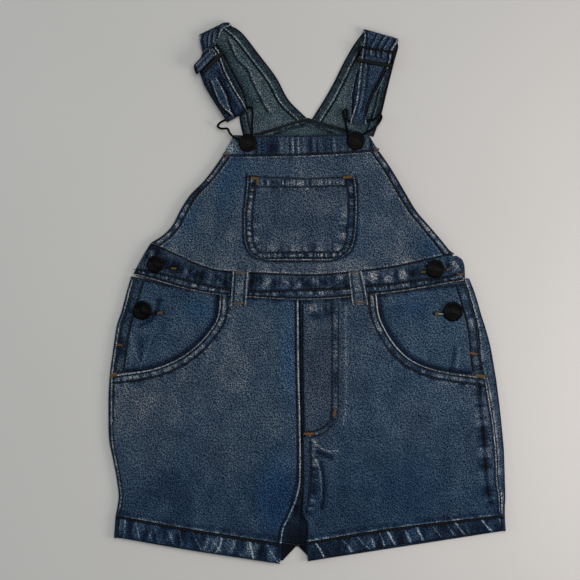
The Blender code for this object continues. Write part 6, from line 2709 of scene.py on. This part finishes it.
@dataclass
class BackZone(Zone):
    """The back: bib, waist, and legs and hems that wrap round the sides."""

    name: str = "back"
    hem_rows: int = 14

    def panels(self) -> list[Panel]:
        """The flat panels of the back."""
        bib = Panel("back_bib", BACK_BIB, Slot.INSIDE, level=ground_level, cell=1.4, reverse=1.0, tone=0.46)
        left, right = rounded(BIB_LINING_LEFT), rounded(BIB_LINING_RIGHT)
        bib.marks = [
            Mark(left, 0.8, -0.32, -0.2), Mark(right, 0.8, -0.32, -0.2),
            Mark(offset_line(left, 3.6), 0.8, -0.3, -0.2), Mark(offset_line(right, -3.6), 0.8, -0.3, -0.2),
            Ripples(offset_line(left, 2.0), 2.4, 2.4, 3.0, 0.16, 0.2),
            Ripples(offset_line(right, -2.0), 2.4, 2.4, 3.0, 0.16, 0.2),
        ]
        bib.rows = sewn(offset_line(left, 3.6), left, right, offset_line(right, -3.6))
        bib.marks.append(bib.mark("top", 0.5, 0.8, -0.2))
        waist = Panel("back_waist", BACK_WAIST, level=ground_level, cell=2.0, tone=0.36)
        return [bib, waist]

    def seams(self) -> list[SeamCord]:
        """The seams where the straps meet the back bib, and down the seat."""
        top = offset_line(Panel("back_bib", BACK_BIB).border("top", 0.0), 0.2)
        down = np.linspace(-2.0, -204.0, 120)
        seat = np.stack([lookup(SEAT_SEAM, down, "x"), down], axis=-1)
        return [SeamCord(top, 0.7, 0.6), SeamCord(seat, 0.6, 0.5)]

    def leg_spans(self, sign: int, side: tuple[Side, ...]) -> Array:
        """Sections of a back leg: inner x and y, side y, and three sags from the outer end.

        Args:
            sign: -1 for left, 1 for right.
            side: the side's table.

        Returns:
            The sections, from the top down.
        """
        fold = float(lookup(side, np.array(BACK_SEAM.left_y), "fold_x"))
        inner = float(lookup(SEAT_SEAM, np.array(0.0), "x")) + sign * 0.5 * GAP
        rung = stretch_of(BACK_SEAM, *sorted((inner, fold)))
        ends, sags = (rung.right_y, rung.left_y), (rung.three_quarters, rung.half, rung.quarter)
        if sign > 0:
            ends, sags = ends[::-1], sags[::-1]
        spans = [(inner, ends[0] - SEAT_GAP, ends[1] - SEAT_GAP, *sags)]
        for row in BACK_LEVELS:
            inner = float(lookup(SEAT_SEAM, np.array(row.centre_y), "x")) + sign * 0.5 * GAP
            spans.append((inner, row.centre_y, row.side_y, 0.0, 0.0, 0.0))
        table = np.array(spans)
        return smooth(table.T, row_places(table[:, 1:3], table[:, 1:3], 2.2)).T

    def build(self) -> None:
        """Build the flat panels, then the legs and hems that wrap round the sides."""
        super().build()
        for hand, sign, side in (("left", -1, SIDE_LEFT), ("right", 1, SIDE_RIGHT)):
            spans = self.leg_spans(sign, side)
            lip = np.stack([lookup(side, np.linspace(8.0, -176.0, 90), "seam_x") + sign * (LIP_GAP + 0.6),
                            np.linspace(8.0, -176.0, 90)], axis=-1)
            seat = np.stack([np.full(60, -6.0 + sign * 3.0), np.linspace(-4.0, -180.0, 60)], axis=-1)
            leg = SideWrap("leg_back_" + hand, sign, side, spans, FRONT_LEVEL + WALL, patches=CROTCH_SHADE)
            fold = np.stack([lookup(side, lip[:, 1], "fold_x") - sign * 0.4, lip[:, 1]], axis=-1)
            # the dark mark along the side fold is painted shade, where the cloth turns down
            leg.marks = [Mark(lip, 0.6, 0.3, 0.1, 0.5), Ripples(lip, 6.0, 6.0, 7.0, 0.1, 0.0),
                         Mark(fold, 0.9, -0.3)]
            leg.under_marks = [Mark(seat, 1.6, -0.25), Ripples(seat, 8.0, 8.0, 5.0, 0.1)]
            shell = leg.shell()
            shell.build(self.finishes[Slot.DENIM])
            shell.declare("folded", ())
            inner_x, inner_y, side_y = spans[-1][:3]
            drop = BACK_HEM_DROP_LEFT if sign < 0 else BACK_HEM_DROP_RIGHT
            down = np.linspace(0.0, 1.0, self.hem_rows + 1)
            hem_spans = np.stack([inner_x + sign * BACK_HEM_SLANT * down,
                                  inner_y - GAP - (BACK_HEM_INNER - GAP) * down,
                                  side_y - GAP - (drop - GAP) * down,
                                  0.0 * down, 0.0 * down, 0.0 * down], axis=-1)
            hem = SideWrap("hem_back_" + hand, sign, side, hem_spans, FRONT_LEVEL + HEM_WALL, Slot.DARK,
                           HEM_WALL,
                           tone=0.28, patches=CROTCH_SHADE)
            hem_top = np.stack([np.linspace(sign * 20.0, sign * 160.0, 50), np.full(50, side_y - 1.4)],
                               axis=-1)
            hem.marks = [Mark(hem_top, 0.7, -0.2)]
            shell = hem.shell()
            shell.build(self.finishes[Slot.DARK])
            shell.declare("folded", ())


@dataclass
class ClothRoll:
    """The strap's turn over its slider: cloth rolled across it, with its wound end in sight."""

    start: tuple[float, float] = (-89.2, 175.0)
    stop: tuple[float, float] = (-72.6, 192.2)
    level: float = 9.9
    half_width: float = 4.7
    half_height: float = 2.4
    turns: float = 1.7
    tighten: float = 0.62
    slant: float = 5.4
    start_slant: float = 1.6
    wall: float = 0.8
    rows: int = 44
    sides: int = 84
    tone: float = 0.36

    def join(self, strap: bpy.types.Object, material: bpy.types.Material) -> None:
        """Wind the roll and join it to the strap's piece.

        Args:
            strap: the strap's piece.
            material: the cloth's material.
        """
        run = np.array(self.stop) - np.array(self.start)
        length = float(np.hypot(*run))
        ahead, aside = run / length, np.array([-run[1], run[0]]) / length
        wound = np.linspace(0.0, 1.0, self.sides + 1)[None, :]
        share = np.linspace(0.0, 1.0, self.rows + 1)[:, None]
        angle = -0.6 * math.pi + 2.0 * math.pi * self.turns * wound
        size = (1.0 - self.tighten * wound) * (1.0 - 0.12 * np.abs(2.0 * share - 1.0) ** 3)
        size = size * (1.0 + 0.03 * np.sin(9.0 * share + 5.0 * angle))
        away, height = self.half_width * size * np.cos(angle), self.half_height * size * np.sin(angle)
        up = height / self.half_height
        rest = 1.0 - share
        place = (share * length + 0.5 * away * rest ** 3
                 - (self.slant * share ** 4 - self.start_slant * rest ** 4) * (0.5 + 0.5 * up))
        x = self.start[0] + ahead[0] * place + aside[0] * away
        y = self.start[1] + ahead[1] * place + aside[1] * away
        points = np.stack([x, y, self.level + height], axis=-1)
        stripes = (0.22 * uneven(9.0 * angle + 0.0 * share, 3.4, 61)
                   + 0.05 * cloud(angle * 4.0, place, 3.0, 5.0, 62))
        tone = self.tone + stripes + 0.45 * np.exp(-(rest * length / 0.5) ** 2)
        # painted shade: darker on the roll's inner windings, on both its flanks and at its start end
        tone = tone - 0.5 * np.clip(2.0 * (wound * self.turns - 0.85), 0.0, 1.0) * (share < 0.97)
        tone = tone - 0.45 * np.clip(np.abs(np.cos(angle)) - 0.78, 0.0, 0.15) / 0.15 * (share < 0.97)
        tone = tone - 0.5 * np.exp(-(share * length / 1.6) ** 2)
        index = grid_index(*points.shape[:2])
        mesh = bpy.data.meshes.new("roll")
        mesh.from_pydata((points.reshape(-1, 3) * MM).tolist(), [], grid_faces(index, turned=True))
        mesh.shade_smooth()
        flat = np.stack([place, 4.0 * angle + 0.0 * place], axis=-1).reshape(-1, 2)
        set_fields(mesh,
                   {"tone": tone.ravel(), "tint": np.zeros(index.size), "reverse": np.zeros(index.size)},
                   flat)
        roll = new_piece("roll", mesh, material)
        thicken(roll, self.wall)
        fix_modifiers(roll)
        turn_outwards(roll.data)
        choose(strap)
        roll.select_set(True)
        bpy.ops.object.join()


@dataclass
class StrapZone:
    """The two shoulder straps, each in two stretches, with their edge stitches."""

    finishes: dict[Slot, bpy.types.Material]
    thread: bpy.types.Material

    def straps(self) -> list[Strap]:
        """The four stretches of strap."""
        return [
            Strap("strap_left_back", STRAP_LEFT_RISE, STRAP_LEFT_FOLD, STRAP_LEFT_DROP, Slot.INSIDE, 0.5,
                  reverse=1.0, wide_hem=1, turned_tone=-0.08, plan=(
                      Mark(rounded(LEFT_RISE_CREASE), 1.0, -0.42, -0.5, 0.2),
                      Mark(offset_line(rounded(LEFT_RISE_CREASE), 1.6), 0.8, 0.16, 0.3),
                      Mark(rounded(LEFT_RISE_SHADE), 5.0, -0.2, 0.0, 0.2)), corner=2.4),
            Strap("strap_right_back", STRAP_RIGHT_RISE, STRAP_RIGHT_FOLD, STRAP_RIGHT_DROP, Slot.INSIDE, 0.5,
                  reverse=1.0, wide_hem=-1, turned_tone=-0.08, plan=(
                      Mark(rounded(RIGHT_RISE_SHADE), 5.0, -0.2, 0.0, 0.2),)),
            Strap("strap_left_front", STRAP_LEFT_RUN, STRAP_LEFT_TURN, STRAP_LEFT_RETURN, Slot.DENIM, 0.4,
                  edges=LEFT_RUN_EDGES, plan=(
                      Mark(rounded(LEFT_RUN_CREASE), 0.6, 0.34, 0.4, 0.2),
                      Mark(offset_line(rounded(LEFT_RUN_CREASE), -1.4), 0.9, -0.36, -0.4, 0.2),
                      Mark(rounded(LEFT_RUN_CREASE_INNER), 0.6, 0.34, 0.4, 0.2),
                      Mark(offset_line(rounded(LEFT_RUN_CREASE_INNER), 1.5), 1.0, -0.4, -0.5, 0.2),
                      Mark(rounded(LEFT_RUN_DARK), 1.6, -0.2, 0.0, 0.3),
                      # painted shade where the run turns under round the buckle's wire
                      Mark(rounded(LEFT_RUN_END_SHADE), 2.4, -0.4, 0.0, 0.1))),
            Strap("strap_right_front", STRAP_RIGHT_RUN, STRAP_RIGHT_TURN, STRAP_RIGHT_RETURN, Slot.DENIM,
                  0.42,
                  edges=RIGHT_RUN_EDGES, plan=(
                      Mark(rounded(RIGHT_RUN_VALLEY), 1.9, -0.42, -0.8, 0.1),
                      Mark(rounded(RIGHT_RUN_FOLD), 0.7, 0.4, 0.4, 0.2),
                      Mark(rounded(RIGHT_RUN_LAYER), 0.6, 0.4, 0.3, 0.2),
                      Mark(offset_line(rounded(RIGHT_RUN_LAYER), 1.4), 0.9, -0.36, -0.3, 0.2))),
        ]

    def build(self) -> None:
        """Build the straps and sew their edges."""
        sewing = Sewing("stitches_straps")
        for strap in self.straps():
            shell = strap.shell()
            shell.build(self.finishes[strap.slot])
            for side in (-1, 1):
                sewing.row(strap.spots, Stitches(strap.edge(side, STITCH_INSET, 0.02, 0.98)))
            if strap.node == "strap_left_front":
                ClothRoll().join(bpy.data.objects[strap.node + "_cloth"], self.finishes[strap.slot])
            shell.declare("folded", ())
        sewing.build(self.thread)


@dataclass
class SoftLight:
    """A large soft area light that looks at the garment."""

    name: str
    place: tuple[float, float, float]
    size: float
    power: float
    colour: tuple[float, float, float]

    def build(self) -> None:
        """Add the light to the scene."""
        data = bpy.data.lights.new(self.name, "AREA")
        data.shape = "DISK"
        data.size = self.size
        data.energy = self.power
        data.color = self.colour
        lamp = bpy.data.objects.new(self.name, data)
        lamp.location = self.place
        aim = Vector((VIEW_X, VIEW_Y, 0.0)) - Vector(self.place)
        lamp.rotation_euler = aim.to_track_quat("-Z", "Y").to_euler()
        bpy.context.scene.collection.objects.link(lamp)


@dataclass
class Studio:
    """Plain pale floor, soft light, and a camera straight above the garment."""

    lights: tuple[SoftLight, ...] = (
        SoftLight("light_overhead", (0.2, 0.35, 1.6), 1.2, 9.0, (1.0, 0.995, 0.975)),
        SoftLight("light_right", (0.56, -0.1, 0.36), 0.36, 2.0, (1.0, 0.9, 0.88)),
        SoftLight("light_left", (-1.3, 0.2, 0.62), 0.7, 2.6, (0.8, 0.97, 1.0)),
    )

    def build(self) -> None:
        """Build the floor, the lights, the sky and the camera."""
        bpy.ops.object.select_all(action="DESELECT")
        bpy.ops.mesh.primitive_plane_add(size=6.0, location=(0.0, 0.0, 0.0))
        floor = bpy.context.active_object
        floor.name = "floor"
        floor.data.materials.append(FloorFinish().build())
        for light in self.lights:
            light.build()
        world = bpy.data.worlds.new("soft_sky")
        world.use_nodes = True
        background = world.node_tree.nodes["Background"]
        background.inputs["Color"].default_value = (0.95, 0.97, 1.0, 1.0)
        background.inputs["Strength"].default_value = 0.26
        bpy.context.scene.world = world
        camera_data = bpy.data.cameras.new("camera")
        camera_data.sensor_width = SENSOR_WIDTH
        camera_data.lens = SENSOR_WIDTH * VIEW_HEIGHT / VIEW_SPAN
        camera_data.clip_end = 10.0
        camera = bpy.data.objects.new("camera", camera_data)
        camera.location = (VIEW_X, VIEW_Y, VIEW_HEIGHT)
        bpy.context.scene.collection.objects.link(camera)
        bpy.context.scene.camera = camera
        bpy.context.scene.view_settings.view_transform = "Standard"


CLOTH_FINISHES = {Slot.DENIM: "denim_washed", Slot.DARK: "denim_trim", Slot.INSIDE: "denim_reverse"}


def main() -> None:
    """Build the garment's looks over the CAD frame, and the studio."""
    logging.basicConfig(level=logging.INFO, format="%(name)s %(message)s")
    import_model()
    finishes = {slot: DenimFinish(name).build() for slot, name in CLOTH_FINISHES.items()}
    thread = ThreadFinish().build()
    metal = BlackMetalFinish().build()
    for zone in (BackZone, LeftLegZone, RightLegZone, WaistZone, BibZone, StrapZone):
        zone(finishes, thread).build()
    for button in BUTTONS:
        TackButton(button).build(metal)
    StrapSlider("slider_left", SLIDER_LEFT, *LEFT_FRAME).build(metal)
    StrapSlider("slider_right", SLIDER_RIGHT).build(metal)
    WireBuckle("buckle_left", BUCKLE_LEFT).build(metal)
    WireBuckle("buckle_right", BUCKLE_RIGHT).build(metal)
    Studio().build()


if __name__ == "__main__":
    main()
